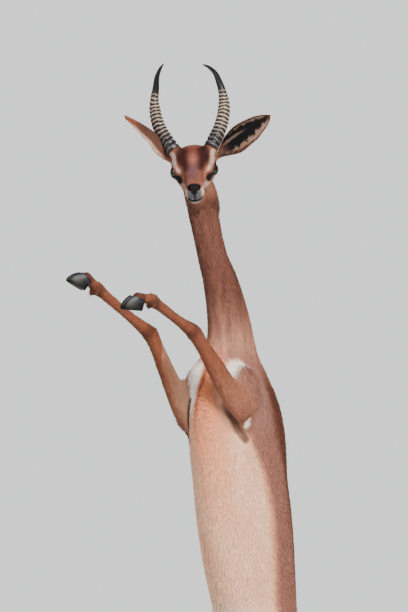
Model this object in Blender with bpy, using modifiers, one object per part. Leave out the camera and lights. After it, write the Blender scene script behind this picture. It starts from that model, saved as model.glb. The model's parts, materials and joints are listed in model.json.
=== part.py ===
"""A gerenuk reared up on its hind legs, as a still, life-size museum model on a flat base.

The animal's left is +X, its back is +Y and it faces -Y. Z is up, from the base's underside.
The skin is modelled whole, from rows of named sizes along each part, and then parted by thin cuts.
"""

from math import cos, pi, radians, sin

import bmesh
import bpy
import numpy as np
from mathutils import Matrix, Vector

for old in list(bpy.data.objects):
    bpy.data.objects.remove(old)

# Driving dimensions, in metres
GAP = 0.0003  # between neighbours that touch
BASE_SIZE = (0.60, 0.60, 0.03)
BASE_CORNER = 0.05
BASE_RIM = 0.004
GROUND = BASE_SIZE[2] + GAP  # the height that the hooves stand at
EYE_RADIUS = 0.0165
EYE_AT = (0.0395, 0.0, 0.004)  # in the head's frame, mirrored for the right eye
LID = 0.0034  # how thick the flesh is over the eyeball
HORN_RINGS = 15
EAR_THICK = 0.0028
HEEL_REACH = 0.0155  # behind the middle of the coronet
HEEL_SOLE = 0.66  # the share of that reach at the sole
HOOF_HEIGHT = 0.030
CLAW_WIDTH = 0.0180

# How finely the skin is made
VOXEL = 0.0038
HEAD_ZOOM = 2.2  # the head is worked on this much larger, so that its faces come out smaller
HEAD_REACH = 0.165
EVEN_ROUNDS = 150
FACE_EVENED = 0.03  # how much of that smoothing the head and the lower legs get
FILL_ROUNDS = 110
SKIN_FACES = 6600

# The head's own frame: +X its left, -Y forward, +Z up, with the origin midway between the eyes
HEAD_FRAME = (
    Matrix.Translation((0.0546, -0.2521, 1.9405))
    @ Matrix.Rotation(radians(40), 4, "Z")
    @ Matrix.Rotation(radians(20), 4, "X")
    @ Matrix.Rotation(radians(-5.5), 4, "Y")
)

parts = bpy.data.collections.new("gerenuk")
helpers = bpy.data.collections.new("gerenuk_helpers")
for collection in (parts, helpers):
    bpy.context.scene.collection.children.link(collection)


# Plain tools for meshes


def material(name, colour, roughness, metallic=0.0):
    made = bpy.data.materials.new(name)
    made.use_nodes = True
    surface = made.node_tree.nodes["Principled BSDF"]
    surface.inputs["Base Color"].default_value = (*colour, 1)
    surface.inputs["Roughness"].default_value = roughness
    surface.inputs["Metallic"].default_value = metallic
    return made


def new_object(name, points, faces, collection=parts, surface=None):
    mesh = bpy.data.meshes.new(name)
    mesh.from_pydata([tuple(p) for p in points], [], [tuple(f) for f in faces])
    mesh.validate()
    made = bpy.data.objects.new(name, mesh)
    collection.objects.link(made)
    if surface:
        mesh.materials.append(surface)
    if collection is helpers:
        made.hide_render = True
        made.display_type = "WIRE"
    return made


def drop(*objects):
    for each in objects:
        bpy.data.objects.remove(each)


def points_of(mesh):
    points = np.empty(len(mesh.vertices) * 3)
    mesh.vertices.foreach_get("co", points)
    return points.reshape(-1, 3)


def put_points(mesh, points):
    mesh.vertices.foreach_set("co", np.asarray(points, float).ravel())
    mesh.update()


def baked(made):
    """The object with its modifiers made real."""
    mesh = bpy.data.meshes.new_from_object(made.evaluated_get(bpy.context.evaluated_depsgraph_get()))
    made.modifiers.clear()
    made.data = mesh
    return made


def keep_largest(made):
    """Drops every closed surface of the mesh but its largest one."""
    mesh = bmesh.new()
    mesh.from_mesh(made.data)
    bmesh.ops.remove_doubles(mesh, verts=mesh.verts, dist=1e-6)
    bmesh.ops.dissolve_degenerate(mesh, edges=mesh.edges, dist=1e-6)
    left, bodies = set(mesh.faces), []
    while left:
        reached = [left.pop()]
        for face in reached:
            for edge in face.edges:
                for other in edge.link_faces:
                    if other in left:
                        left.discard(other)
                        reached.append(other)
        bodies.append(reached)

    def volume(faces):
        return sum(f.calc_area() * f.normal.dot(f.calc_center_median()) for f in faces)

    largest = max(bodies, key=volume)
    scraps = [face for body in bodies if body is not largest for face in body]
    bmesh.ops.delete(mesh, geom=scraps, context="FACES")
    bmesh.ops.triangulate(mesh, faces=mesh.faces)
    mesh.to_mesh(made.data)
    mesh.free()
    return made


def boolean(made, other, operation, solver="EXACT"):
    cut = made.modifiers.new("cut", "BOOLEAN")
    cut.object = other
    cut.operation = operation
    cut.solver = solver
    return baked(made)


def union_of(name, pieces, surface, solver="EXACT"):
    """The pieces joined into one closed body, which keeps the first one's place."""
    first = pieces[0]
    rest = bpy.data.collections.new(name + "_pieces")
    bpy.context.scene.collection.children.link(rest)
    for piece in pieces[1:]:
        rest.objects.link(piece)
    join = first.modifiers.new("join", "BOOLEAN")
    join.operand_type = "COLLECTION"
    join.collection = rest
    join.operation = "UNION"
    join.solver = solver
    baked(first)
    drop(*pieces[1:])
    bpy.data.collections.remove(rest)
    made = new_object(name, [], [], parts)
    made.data = first.data
    drop(first)
    keep_largest(made)
    made.data.materials.clear()
    made.data.materials.append(surface)
    return made


def grown(made, by):
    """A wire copy of the object with its surface moved out by this much."""
    mesh = made.data.copy()
    normals = np.empty(len(mesh.vertices) * 3)
    mesh.vertex_normals.foreach_get("vector", normals)
    put_points(mesh, points_of(mesh) + normals.reshape(-1, 3) * by)
    copy = bpy.data.objects.new(made.name + "_grown", mesh)
    helpers.objects.link(copy)
    copy.hide_render = True
    copy.display_type = "WIRE"
    return copy


# Lofts: a part is a few rows, each a place along it and the radii there


def smooth_rows(rows, step):
    """The rows again, about every step along a smooth curve through them."""
    rows = np.array(rows, float)
    at = np.concatenate([[0], np.cumsum(np.linalg.norm(np.diff(rows[:, :3], axis=0), axis=1))])
    slopes = np.gradient(rows, at, axis=0)
    want = np.linspace(0, at[-1], max(5, round(at[-1] / step) + 1))
    i = np.clip(np.searchsorted(at, want, side="right") - 1, 0, len(at) - 2)
    length = (at[i + 1] - at[i])[:, None]
    t = (want - at[i])[:, None] / length
    return (
        (2 * t**3 - 3 * t**2 + 1) * rows[i]
        + (t**3 - 2 * t**2 + t) * length * slopes[i]
        + (3 * t**2 - 2 * t**3) * rows[i + 1]
        + (t**3 - t**2) * length * slopes[i + 1]
    )


def unit(vectors):
    return vectors / np.linalg.norm(vectors, axis=-1, keepdims=True)


def loft(rows, side, step=0.01, sides=28, domes=(0.8, 0.8), square=2.0):
    """Points and faces of a closed tube along rows of x, y, z and the radii to the side, front and back.

    Without a step the rows are used as they are. An end with no dome is flat.
    """
    rows = smooth_rows(rows, step) if step else np.array(rows, float)
    along = unit(np.gradient(rows[:, :3], axis=0))
    across = np.array(side, float)
    across = unit(across - along * (along @ across)[:, None])
    front = np.cross(across, along)
    caps, tips = ([], []), []
    for end, way, dome in ((0, -along[0], domes[0]), (-1, along[-1], domes[1])):
        high = dome * rows[end, 3:].min()
        for turn in np.radians([75, 50, 25]) if dome else ():
            cap = rows[end].copy()
            cap[:3] += way * high * sin(turn)
            cap[3:] *= cos(turn)
            caps[end].append(cap)
        tips.append(rows[end, :3] + way * high)
    rings = np.array([*caps[0], *rows, *caps[1][::-1]])
    pick = [0] * len(caps[0]) + list(range(len(rows))) + [len(rows) - 1] * len(caps[1])
    across, front = across[pick], front[pick]
    angle = np.arange(sides) * 2 * pi / sides
    power = 2 / square
    c = np.sign(np.cos(angle)) * np.abs(np.cos(angle)) ** power
    s = np.sign(np.sin(angle)) * np.abs(np.sin(angle)) ** power
    deep = np.where(s > 0, rings[:, 4:5], rings[:, 5:6])
    points = (
        rings[:, None, :3]
        + across[:, None] * (rings[:, 3:4] * c)[..., None]
        + front[:, None] * (deep * s)[..., None]
    ).reshape(-1, 3)
    return tube(points, tips, len(rings), sides)


def tube(points, tips, count, sides):
    """A closed body from rings of points, all with as many sides, and the two tips that close its ends."""
    faces = []
    for ring in range(count - 1):
        for k in range(sides):
            a, b = ring * sides + k, ring * sides + (k + 1) % sides
            faces.append((a, b, b + sides, a + sides))
    low, high = count * sides, count * sides + 1
    last = (count - 1) * sides
    for k in range(sides):
        n = (k + 1) % sides
        faces.append((low, n, k))
        faces.append((high, last + k, last + n))
    return facing_out(np.vstack([points, tips]), faces)


def facing_out(points, faces):
    points = np.asarray(points, float)
    middle = points.mean(axis=0)
    volume = 0.0
    for face in faces:
        a = points[face[0]] - middle
        for k in range(1, len(face) - 1):
            volume += np.dot(a, np.cross(points[face[k]] - middle, points[face[k + 1]] - middle))
    return (points, faces) if volume > 0 else (points, [tuple(reversed(face)) for face in faces])


def ellipsoid(centre, radii, turn=None, rings=18, sides=28):
    """Points and faces of an ellipsoid, its radii along X, Y and Z before the turn."""
    points = [(0, 0, -1)]
    for ring in range(1, rings):
        polar = pi * ring / rings
        for k in range(sides):
            angle = 2 * pi * k / sides
            points.append((sin(polar) * cos(angle), sin(polar) * sin(angle), -cos(polar)))
    points.append((0, 0, 1))
    points = np.array(points) * radii
    if turn is not None:
        points = points @ np.array(turn).T
    faces = []
    for k in range(sides):
        n = (k + 1) % sides
        faces.append((0, 1 + n, 1 + k))
        for ring in range(rings - 2):
            a, b = 1 + ring * sides + k, 1 + ring * sides + n
            faces.append((a, b, b + sides, a + sides))
        top = 1 + (rings - 2) * sides
        faces.append((len(points) - 1, top + k, top + n))
    return facing_out(points + np.array(centre), faces)


def turned_towards(direction, up=(0, 0, 1)):
    """The rotation whose Z runs along the direction and whose Y leans to up."""
    z = unit(np.array(direction, float))
    x = unit(np.cross(np.array(up, float), z))
    return np.column_stack([x, np.cross(z, x), z])


def muscle(start, end, width, depth, out):
    """A lens of flesh from start to end, this wide, and this deep along out."""
    start, end = np.array(start, float), np.array(end, float)
    turn = turned_towards(end - start, out)
    return ellipsoid((start + end) / 2, (width / 2, depth / 2, np.linalg.norm(end - start) / 2), turn)


def placed(shape, frame):
    points, faces = shape
    turn, move = np.array(frame)[:3, :3], np.array(frame)[:3, 3]
    return points @ turn.T + move, faces


def joined(shapes):
    points, faces, count = [], [], 0
    for some, theirs in shapes:
        points.append(some)
        faces += [tuple(k + count for k in face) for face in theirs]
        count += len(some)
    return np.vstack(points), faces


# The trunk, row by row from the rump up: height, y, half width, depth of belly side, depth of back side
TRUNK = (
    (0.740, 0.085, 0.045, 0.045, 0.045),
    (0.800, 0.075, 0.085, 0.085, 0.060),
    (0.870, 0.055, 0.098, 0.110, 0.085),
    (0.950, 0.035, 0.099, 0.125, 0.108),
    (1.030, 0.017, 0.101, 0.133, 0.122),
    (1.120, 0.000, 0.100, 0.138, 0.130),
    (1.220, -0.018, 0.096, 0.138, 0.128),
    (1.320, -0.037, 0.091, 0.136, 0.122),
    (1.400, -0.052, 0.084, 0.124, 0.115),
    (1.460, -0.058, 0.068, 0.096, 0.100),
    (1.520, -0.060, 0.052, 0.067, 0.074),
)
# The neck from the chest up: y, height, half width, half depth
NECK = (
    (-0.045, 1.420, 0.066, 0.085),
    (-0.0510, 1.505, 0.057, 0.072),
    (-0.0555, 1.557, 0.0495, 0.0610),
    (-0.0725, 1.627, 0.0430, 0.0520),
    (-0.0920, 1.680, 0.0380, 0.0460),
    (-0.118, 1.733, 0.0335, 0.039),
    (-0.136, 1.785, 0.033, 0.038),
    (-0.152, 1.838, 0.0345, 0.040),
    (-0.170, 1.895, 0.036, 0.040),
    (-0.192, 1.936, 0.033, 0.032),
)


def trunk_shapes():
    rows = [(0, y, z, half, belly, back) for z, y, half, belly, back in TRUNK]
    yield loft(rows, (1, 0, 0), sides=72)
    rows = [(0, y, z, half, deep, deep) for y, z, half, deep in NECK]
    yield loft(rows, (1, 0, 0), sides=60)
    # breastbone, withers and the spine's low ridge
    yield muscle((0, -0.138, 1.18), (0, -0.100, 1.47), 0.070, 0.070, (0, 1, 0))
    yield muscle((0, 0.064, 1.16), (0, 0.004, 1.54), 0.060, 0.062, (0, 1, 0))
    yield muscle((0, 0.098, 0.90), (0, 0.082, 1.34), 0.070, 0.070, (0, 1, 0))
    # nape and throat
    yield muscle(HEAD_FRAME @ Vector((0, 0.040, 0.010)), (0, -0.112, 1.820), 0.068, 0.052, (0, 1, 0))
    yield muscle(HEAD_FRAME @ Vector((0, 0.030, -0.034)), (0, -0.180, 1.840), 0.050, 0.046, (0, 1, 0))
    for side in (-1, 1):
        # shoulder blade, breast and the muscles over the ribs
        yield muscle((side * 0.030, 0.030, 1.475), (side * 0.068, -0.108, 1.345), 0.110, 0.060, (1, 0, 0))
        yield muscle((side * 0.036, 0.020, 1.455), (side * 0.060, 0.030, 1.10), 0.140, 0.062, (1, 0, 0))
        yield muscle((side * 0.026, -0.112, 1.50), (side * 0.046, -0.120, 1.38), 0.070, 0.070, (0, 1, 0))
        yield muscle((side * 0.050, -0.010, 1.36), (side * 0.060, 0.005, 1.04), 0.130, 0.070, (1, 0, 0))
        # loin and the point of the hip
        yield muscle((side * 0.052, 0.050, 1.02), (side * 0.060, 0.060, 0.82), 0.110, 0.080, (1, 0, 0))
        yield ellipsoid((side * 0.072, 0.022, 0.925), (0.026, 0.038, 0.050))
    # sheath and scrotum, small and close to the body
    yield muscle((0, -0.062, 0.985), (0, -0.010, 0.850), 0.022, 0.034, (0, 1, 0))
    yield ellipsoid((0, 0.030, 0.730), (0.021, 0.023, 0.030))


# The skull with the upper jaw, and the lower jaw, in the head's frame: forward, half width, top, bottom
SKULL = (
    (-0.094, 0.026, 0.018, -0.034),
    (-0.072, 0.0385, 0.0400, -0.046),
    (-0.042, 0.0475, 0.0485, -0.050),
    (-0.010, 0.0478, 0.0425, -0.046),
    (0.020, 0.0402, 0.0325, -0.038),
    (0.050, 0.0285, 0.0275, -0.030),
    (0.080, 0.0225, 0.0245, -0.024),
    (0.105, 0.0205, 0.0232, -0.0230),
    (0.122, 0.0205, 0.0208, -0.0215),
    (0.131, 0.0175, 0.0165, -0.0170),
)
JAW = (
    (-0.055, 0.028, 0.005, -0.058),
    (-0.030, 0.032, 0.002, -0.0580),
    (0.000, 0.028, 0.000, -0.0490),
    (0.040, 0.0205, -0.006, -0.0410),
    (0.080, 0.0180, 0.000, -0.0370),
    (0.106, 0.0185, 0.000, -0.0355),
    (0.124, 0.0165, 0.000, -0.0335),
)


def head_loft(rows, square):
    rows = [
        (0, -forward, (top + bottom) / 2, half, (top - bottom) / 2, (top - bottom) / 2)
        for forward, half, top, bottom in rows
    ]
    return loft(rows, (1, 0, 0), step=0.004, sides=40, domes=(0.55, 0.55), square=square)


def head_shapes():
    """The flesh of the head in its own frame."""
    yield head_loft(SKULL, 2.6)
    yield head_loft(JAW, 2.2)
    # muzzle pad and chin
    yield ellipsoid((0, -0.121, 0.008), (0.0180, 0.0140, 0.0132))
    yield ellipsoid((0, -0.1210, -0.0250), (0.0145, 0.0125, 0.0088))
    eye = np.array(EYE_AT)
    for side in (-1, 1):
        flip = np.array((side, 1, 1))
        # wings of the nostrils and the upper lip
        yield ellipsoid(flip * (0.0115, -0.122, 0.0082), (0.0080, 0.0130, 0.0100))
        yield ellipsoid(flip * (0.0110, -0.109, -0.0110), (0.0125, 0.0225, 0.0110))
        # ring of flesh round the eye, brow and cheekbone
        yield ellipsoid(flip * eye, [EYE_RADIUS + LID] * 3, rings=16, sides=24)
        yield muscle(flip * (0.038, 0.040, 0.026), flip * (0.034, -0.036, 0.011), 0.037, 0.030, (0, 0, 1))
        yield muscle(flip * (0.040, 0.030, 0.004), flip * (0.024, -0.050, -0.008), 0.040, 0.028, (1, 0, 0))
        yield muscle(flip * (0.038, 0.036, -0.012), flip * (0.018, -0.072, -0.016), 0.026, 0.024, (0, 0, 1))
        # cheek, and the flesh that the ear and the horn stand on
        yield muscle(flip * (0.026, 0.050, -0.040), flip * (0.018, -0.030, -0.026), 0.040, 0.028, (1, 0, 0))
        yield muscle(flip * (0.020, 0.056, -0.010), flip * (0.056, 0.063, 0.020), 0.031, 0.033, (0, 1, 0))
        yield muscle(flip * (0.018, 0.014, 0.004), flip * (0.053, 0.046, 0.062), 0.036, 0.037, (0, 1, 0))


# Each leg: its joints from the body down, and how many degrees its toe points up and to the left.
# Then the radii to the side, front and back at shares of each bone.
LEFT_FORE = {
    "shoulder": (0.066, -0.094, 1.462),
    "elbow": (0.088, -0.113, 1.363),
    "carpus": (0.067, -0.267, 1.562),
    "fetlock": (0.105, -0.467, 1.644),
    "coronet": (0.100, -0.512, 1.648),
    "pitch": 5,
    "yaw": -25,
}
RIGHT_FORE = {
    "shoulder": (-0.064, -0.090, 1.452),
    "elbow": (-0.083, -0.106, 1.334),
    "carpus": (-0.113, -0.214, 1.553),
    "fetlock": (-0.109, -0.416, 1.667),
    "coronet": (-0.114, -0.450, 1.692),
    "pitch": 30,
    "yaw": -28,
}
LEFT_HIND = {
    "hip": (0.062, 0.050, 0.865),
    "knee": (0.100, -0.055, 0.660),
    "hock": (0.095, 0.075, 0.400),
    "fetlock": (0.100, 0.030, 0.125),
    "coronet": (0.102, -0.004, 0.062),
    "pitch": 0,
    "yaw": 0,
}
RIGHT_HIND = {
    "hip": (-0.062, 0.050, 0.865),
    "knee": (-0.100, -0.040, 0.655),
    "hock": (-0.100, 0.100, 0.405),
    "fetlock": (-0.105, 0.075, 0.125),
    "coronet": (-0.107, 0.041, 0.062),
    "pitch": 0,
    "yaw": 0,
}
UPPER_ARM = ((0, 0.030, 0.036, 0.045), (0.5, 0.030, 0.036, 0.052), (1, 0.024, 0.026, 0.032))
FOREARM = (
    (0, 0.0260, 0.0280, 0.0320),
    (0.15, 0.0285, 0.0320, 0.0320),
    (0.35, 0.0260, 0.0295, 0.0285),
    (0.60, 0.0205, 0.0235, 0.0220),
    (0.85, 0.0172, 0.0180, 0.0176),
    (1, 0.0190, 0.0185, 0.0195),
)
FORE_CANNON = (
    (0, 0.0190, 0.0180, 0.0195),
    (0.12, 0.0172, 0.0158, 0.0172),
    (0.30, 0.0130, 0.0118, 0.0150),
    (0.70, 0.0122, 0.0112, 0.0142),
    (0.90, 0.0145, 0.0124, 0.0152),
    (1, 0.0172, 0.0152, 0.0182),
)
THIGH = ((0, 0.046, 0.075, 0.080), (0.5, 0.044, 0.060, 0.074), (1, 0.031, 0.036, 0.044))
SHANK = (
    (0, 0.0320, 0.0340, 0.0460),
    (0.25, 0.0285, 0.0270, 0.0440),
    (0.50, 0.0195, 0.0195, 0.0320),
    (0.75, 0.0142, 0.0160, 0.0260),
    (0.92, 0.0145, 0.0165, 0.0270),
    (1, 0.0175, 0.0185, 0.0240),
)
HIND_CANNON = (
    (0, 0.0180, 0.0190, 0.0240),
    (0.10, 0.0162, 0.0160, 0.0220),
    (0.25, 0.0124, 0.0122, 0.0158),
    (0.60, 0.0111, 0.0108, 0.0138),
    (0.88, 0.0128, 0.0118, 0.0148),
    (1, 0.0162, 0.0145, 0.0175),
)
PASTERN = ((0, 0.0160, 0.0142, 0.0170), (0.45, 0.0136, 0.0120, 0.0125), (1, 0.0158, 0.0150, 0.0150))


def bone(start, end, radii, bulge=(0, 0, 0)):
    start, end = np.array(start), np.array(end)
    rows = []
    for share, side, front, back in radii:
        place = start + (end - start) * share + np.array(bulge) * sin(pi * share)
        rows.append((*place, side, front, back))
    return loft(rows, (-1, 0, 0), step=0.006, sides=40)


def behind(along):
    """The way that the back of a leg bone faces."""
    return unit(np.cross((1, 0, 0), along))


def foreleg_shapes(leg):
    outward = 1 if leg["elbow"][0] > 0 else -1
    yield bone(leg["shoulder"], leg["elbow"], UPPER_ARM)
    yield bone(leg["elbow"], leg["carpus"], FOREARM)
    yield bone(leg["carpus"], leg["fetlock"], FORE_CANNON)
    yield bone(leg["fetlock"], leg["coronet"], PASTERN)
    elbow, carpus = np.array(leg["elbow"]), np.array(leg["carpus"])
    fetlock, coronet = np.array(leg["fetlock"]), np.array(leg["coronet"])
    down, back = unit(carpus - elbow), behind(carpus - elbow)
    # point of the elbow, the muscle behind the upper arm, and the one on the forearm
    yield muscle(elbow - down * 0.026 + back * 0.006, elbow + down * 0.045, 0.034, 0.040, back)
    behind_arm = np.array(leg["shoulder"]) + (0, 0.050, 0.01)
    yield muscle(behind_arm, elbow + (0, 0.022, -0.002), 0.046, 0.066, (0, 1, 0))
    outside = elbow + (outward * 0.004, -0.010, 0.012)
    yield muscle(outside, elbow + (carpus - elbow) * 0.60, 0.034, 0.036, back)
    # the bone at the back of the wrist and the dewclaws
    yield ellipsoid(carpus + back * 0.013, (0.0115, 0.0100, 0.0130))
    yield from dewclaws(fetlock, behind(coronet - fetlock))


def dewclaws(fetlock, back):
    for side in (-1, 1):
        yield ellipsoid(fetlock + back * 0.0175 + (side * 0.0085, 0, 0), (0.0055, 0.0065, 0.0075))


def hindleg_shapes(leg):
    outward = 1 if leg["hip"][0] > 0 else -1
    hip, knee, hock = (np.array(leg[name]) for name in ("hip", "knee", "hock"))
    fetlock, coronet = np.array(leg["fetlock"]), np.array(leg["coronet"])
    yield bone(hip, knee, THIGH)
    yield bone(knee, hock, SHANK)
    yield bone(hock, fetlock, HIND_CANNON)
    yield bone(fetlock, coronet, PASTERN)
    # buttock and hamstring, the muscle in front of the thigh, and the kneecap
    yield muscle(hip + (0, 0.060, 0.010), knee + (0, 0.060, -0.055), 0.070, 0.085, (0, 1, 0))
    yield muscle(hip + (outward * 0.006, -0.045, 0.030), knee + (0, -0.006, 0.010), 0.070, 0.075, (0, 1, 0))
    yield ellipsoid(knee + (0, -0.018, 0.004), (0.020, 0.020, 0.028))
    # calf, the cord down to the heel, and the heel bone
    calf_end = knee + (hock - knee) * 0.62 + (0, 0.012, 0)
    yield muscle(knee + (0, 0.020, 0.010), calf_end, 0.048, 0.060, (0, 1, 0))
    cord_start = knee + (hock - knee) * 0.45 + (0, 0.024, 0)
    yield muscle(cord_start, hock + (0, 0.030, 0.020), 0.014, 0.022, (0, 1, 0))
    yield muscle(hock + (0, 0.012, -0.045), hock + (0, 0.030, 0.032), 0.022, 0.028, (0, 1, 0))
    yield from dewclaws(fetlock, behind(coronet - fetlock))


def magnified(points):
    """The points with all that lies round the head made larger, and the rest pushed out."""
    centre = np.array(HEAD_FRAME.translation)
    away = points - centre
    far = np.linalg.norm(away, axis=1, keepdims=True)
    outside = 1 + (HEAD_ZOOM - 1) * HEAD_REACH / np.maximum(far, 1e-9)
    grow = np.where(far <= HEAD_REACH, HEAD_ZOOM, outside)
    return centre + away * grow


def shrunk_back(points):
    centre = np.array(HEAD_FRAME.translation)
    away = points - centre
    far = np.linalg.norm(away, axis=1, keepdims=True)
    near = far <= HEAD_REACH * HEAD_ZOOM
    outside = (far - (HEAD_ZOOM - 1) * HEAD_REACH) / np.maximum(far, 1e-9)
    back = np.where(near, 1 / HEAD_ZOOM, outside)
    return centre + away * back


def neighbour_mean(points, edges, count):
    a, b = edges.T
    total = np.empty_like(points)
    for axis in range(3):
        total[:, axis] = np.bincount(a, points[b, axis], len(points))
        total[:, axis] += np.bincount(b, points[a, axis], len(points))
    return total / count[:, None]


def relaxed(points, edges, rounds):
    """The points evened out, without shrinking what they enclose."""
    count = np.bincount(edges.ravel(), minlength=len(points))
    for _ in range(rounds):
        for step in (0.5, -0.52):
            points = points + step * (neighbour_mean(points, edges, count) - points)
    return points


def filled(points, edges, faces, rounds):
    """The points with creases filled, as flesh runs over muscles: only hollows move, and only outward."""
    count = np.bincount(edges.ravel(), minlength=len(points))
    for turn in range(rounds):
        if turn % 4 == 0:
            first, second, third, fourth = (points[faces[:, corner]] for corner in range(4))
            across = np.cross(third - first, fourth - second)
            normals = np.zeros_like(points)
            for axis in range(3):
                for corner in range(4):
                    normals[:, axis] += np.bincount(faces[:, corner], across[:, axis], len(points))
            normals = unit(normals)
        rise = ((neighbour_mean(points, edges, count) - points) * normals).sum(axis=1)
        points = points + normals * (0.6 * np.maximum(rise, 0))[:, None]
    return points


def thick_flesh(points):
    """How far each point is in the trunk, thighs and neck, where the flesh is thick, and not in a leg."""
    local = (points - np.array(HEAD_FRAME.translation)) @ np.array(HEAD_FRAME.to_3x3())
    x, y, z = points.T
    trunk = np.interp(z, (0.66, 0.78, 0.90, 1.50, 1.58, 1.80), (0, 0.4, 1, 1, 0.15, 0))
    trunk = trunk * np.clip((y + 0.19) / 0.04, 0, 1)
    neck = np.clip((z - 1.74) / 0.06, 0, 1) * np.clip((local[:, 1] - 0.050) / 0.025, 0, 1)
    return np.maximum(trunk, neck)


def evened(points, edges, amount, rounds):
    """The points smoothed plainly, so that muscles run together, each as far as its amount says."""
    count = np.bincount(edges.ravel(), minlength=len(points))
    for _ in range(rounds):
        points = points + 0.5 * amount[:, None] * (neighbour_mean(points, edges, count) - points)
    return points


def make_skin():
    shapes = [*trunk_shapes(), *(placed(shape, HEAD_FRAME) for shape in head_shapes())]
    for leg in (LEFT_FORE, RIGHT_FORE):
        shapes += foreleg_shapes(leg)
    for leg in (LEFT_HIND, RIGHT_HIND):
        shapes += hindleg_shapes(leg)
    points, faces = joined(shapes)
    skin = new_object("skin", magnified(points), faces, helpers)
    fuse = skin.modifiers.new("fuse", "REMESH")
    fuse.mode = "VOXEL"
    fuse.voxel_size = VOXEL
    baked(skin)
    points = points_of(skin.data)
    edges = np.empty(len(skin.data.edges) * 2, np.int64)
    skin.data.edges.foreach_get("vertices", edges)
    edges = edges.reshape(-1, 2)
    faces = np.empty(len(skin.data.polygons) * 4, np.int64)
    skin.data.polygons.foreach_get("vertices", faces)
    points = relaxed(points, edges, 4)
    amount = np.maximum(thick_flesh(shrunk_back(points)), FACE_EVENED)
    points = evened(points, edges, amount, EVEN_ROUNDS)
    points = filled(points, edges, faces.reshape(-1, 4), FILL_ROUNDS)
    points = relaxed(points, edges, 6)
    put_points(skin.data, points)
    keep_largest(skin)
    thin = skin.modifiers.new("thin", "DECIMATE")
    thin.ratio = SKIN_FACES / len(skin.data.polygons)
    thin.use_collapse_triangulate = True
    baked(skin)
    put_points(skin.data, shrunk_back(points_of(skin.data)))
    return keep_largest(skin)


# The colours of the parts
BROWN = material("brown_coat", (0.42, 0.20, 0.10), 0.85)
PALE = material("pale_coat", (0.72, 0.52, 0.38), 0.85)
FACE = material("face_coat", (0.36, 0.17, 0.10), 0.85)
HORN = material("horn", (0.30, 0.26, 0.22), 0.45)
HOOF = material("hoof", (0.05, 0.05, 0.06), 0.35)
EYE = material("eye", (0.010, 0.008, 0.008), 0.05)
TUFT = material("tail_hair", (0.02, 0.015, 0.012), 0.7)
BASE = material("base", (0.10, 0.06, 0.035), 0.4)


# Cutting the skin into nodes


def slab(name, at, towards, side, size, gap):
    """A wire box whose near face is centred at a place, moved out by the gap, and looks back."""
    turn = turned_towards(towards, side)
    half = np.array(size) / 2
    centre = np.array(at) + turn[:, 2] * (half[2] - gap)
    bpy.ops.mesh.primitive_cube_add(size=1)
    box = bpy.context.active_object
    box.name = name
    for owner in list(box.users_collection):
        owner.objects.unlink(box)
    helpers.objects.link(box)
    box.hide_render = True
    box.display_type = "WIRE"
    put_points(box.data, (points_of(box.data) * size) @ turn.T + centre)
    return box


def cut_off(whole, name, surface, at, towards, size=(0.5, 0.5, 0.9), side=(0, 1, 0.01)):
    """Parts the whole at a plane: what lies beyond it becomes a node of its own, one gap away."""
    beyond = slab(name + "_region", at, towards, side, size, 0)
    piece = bpy.data.objects.new(name, whole.data.copy())
    parts.objects.link(piece)
    boolean(piece, beyond, "INTERSECT")
    keep_largest(piece)
    piece.data.materials.clear()
    piece.data.materials.append(surface)
    wider = slab(name + "_cutter", at, towards, side, np.array(size) + 2 * GAP, GAP)
    boolean(whole, wider, "DIFFERENCE")
    drop(beyond, wider)
    return piece


def prism(name, outline, reach):
    """A wire prism from an outline of x and z, drawn in order, that runs through the body along Y."""
    count = len(outline)
    points = [(x, y, z) for y in (-reach, reach) for x, z in outline]
    faces = [tuple(range(count)), tuple(reversed(range(count, 2 * count)))]
    faces += [(k, k + count, (k + 1) % count + count, (k + 1) % count) for k in range(count)]
    return new_object(name, *facing_out(points, faces), helpers)


def cut_thigh(whole, side, name):
    """Parts a thigh at the groin, on a plane that rises outwards, and at the middle plane."""
    piece = bpy.data.objects.new(name, whole.data.copy())
    parts.objects.link(piece)

    def outline(out):
        inner = side * (GAP / 2 - out)
        return [
            (inner, 0.762 + out),
            (side * 0.110, 0.895 + out * 1.5),
            (side * 0.300, 0.960 + out * 1.5),
            (side * 0.300, 0.100),
            (inner, 0.100),
        ]

    region, cutter = prism(name + "_region", outline(0), 0.4), prism(name + "_cutter", outline(GAP), 0.4)
    boolean(piece, region, "INTERSECT")
    keep_largest(piece)
    piece.data.materials.clear()
    piece.data.materials.append(BROWN)
    boolean(whole, cutter, "DIFFERENCE")
    drop(region, cutter)


def in_head(point):
    return HEAD_FRAME @ Vector(point)


def head_way(direction):
    return np.array(HEAD_FRAME.to_3x3() @ Vector(direction))


# Horns: the centre line in the head's frame (out, back, up), and the radius there
HORN_LINE = (
    (0.0435, 0.0335, 0.0445, 0.0174),
    (0.0500, 0.0405, 0.0535, 0.0172),
    (0.0620, 0.0570, 0.0690, 0.0166),
    (0.0730, 0.0790, 0.0865, 0.0158),
    (0.0800, 0.1010, 0.1050, 0.0150),
    (0.0825, 0.1200, 0.1235, 0.0134),
    (0.0815, 0.1320, 0.1420, 0.0106),
    (0.0760, 0.1385, 0.1665, 0.0085),
    (0.0680, 0.1345, 0.1940, 0.0062),
    (0.0550, 0.1230, 0.2140, 0.0040),
    (0.0420, 0.1090, 0.2270, 0.0012),
)
RIGHT_TIP = (
    (0.0700, 0.1310, 0.1975, 0.0062),
    (0.0605, 0.1180, 0.2215, 0.0040),
    (0.0500, 0.1020, 0.2400, 0.0012),
)
RINGED = 0.63  # the share of the horn's length that has rings
HORN_CUTTER = (0.046, 0.046, 0.05)
RING_RISE = 0.0014


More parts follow.
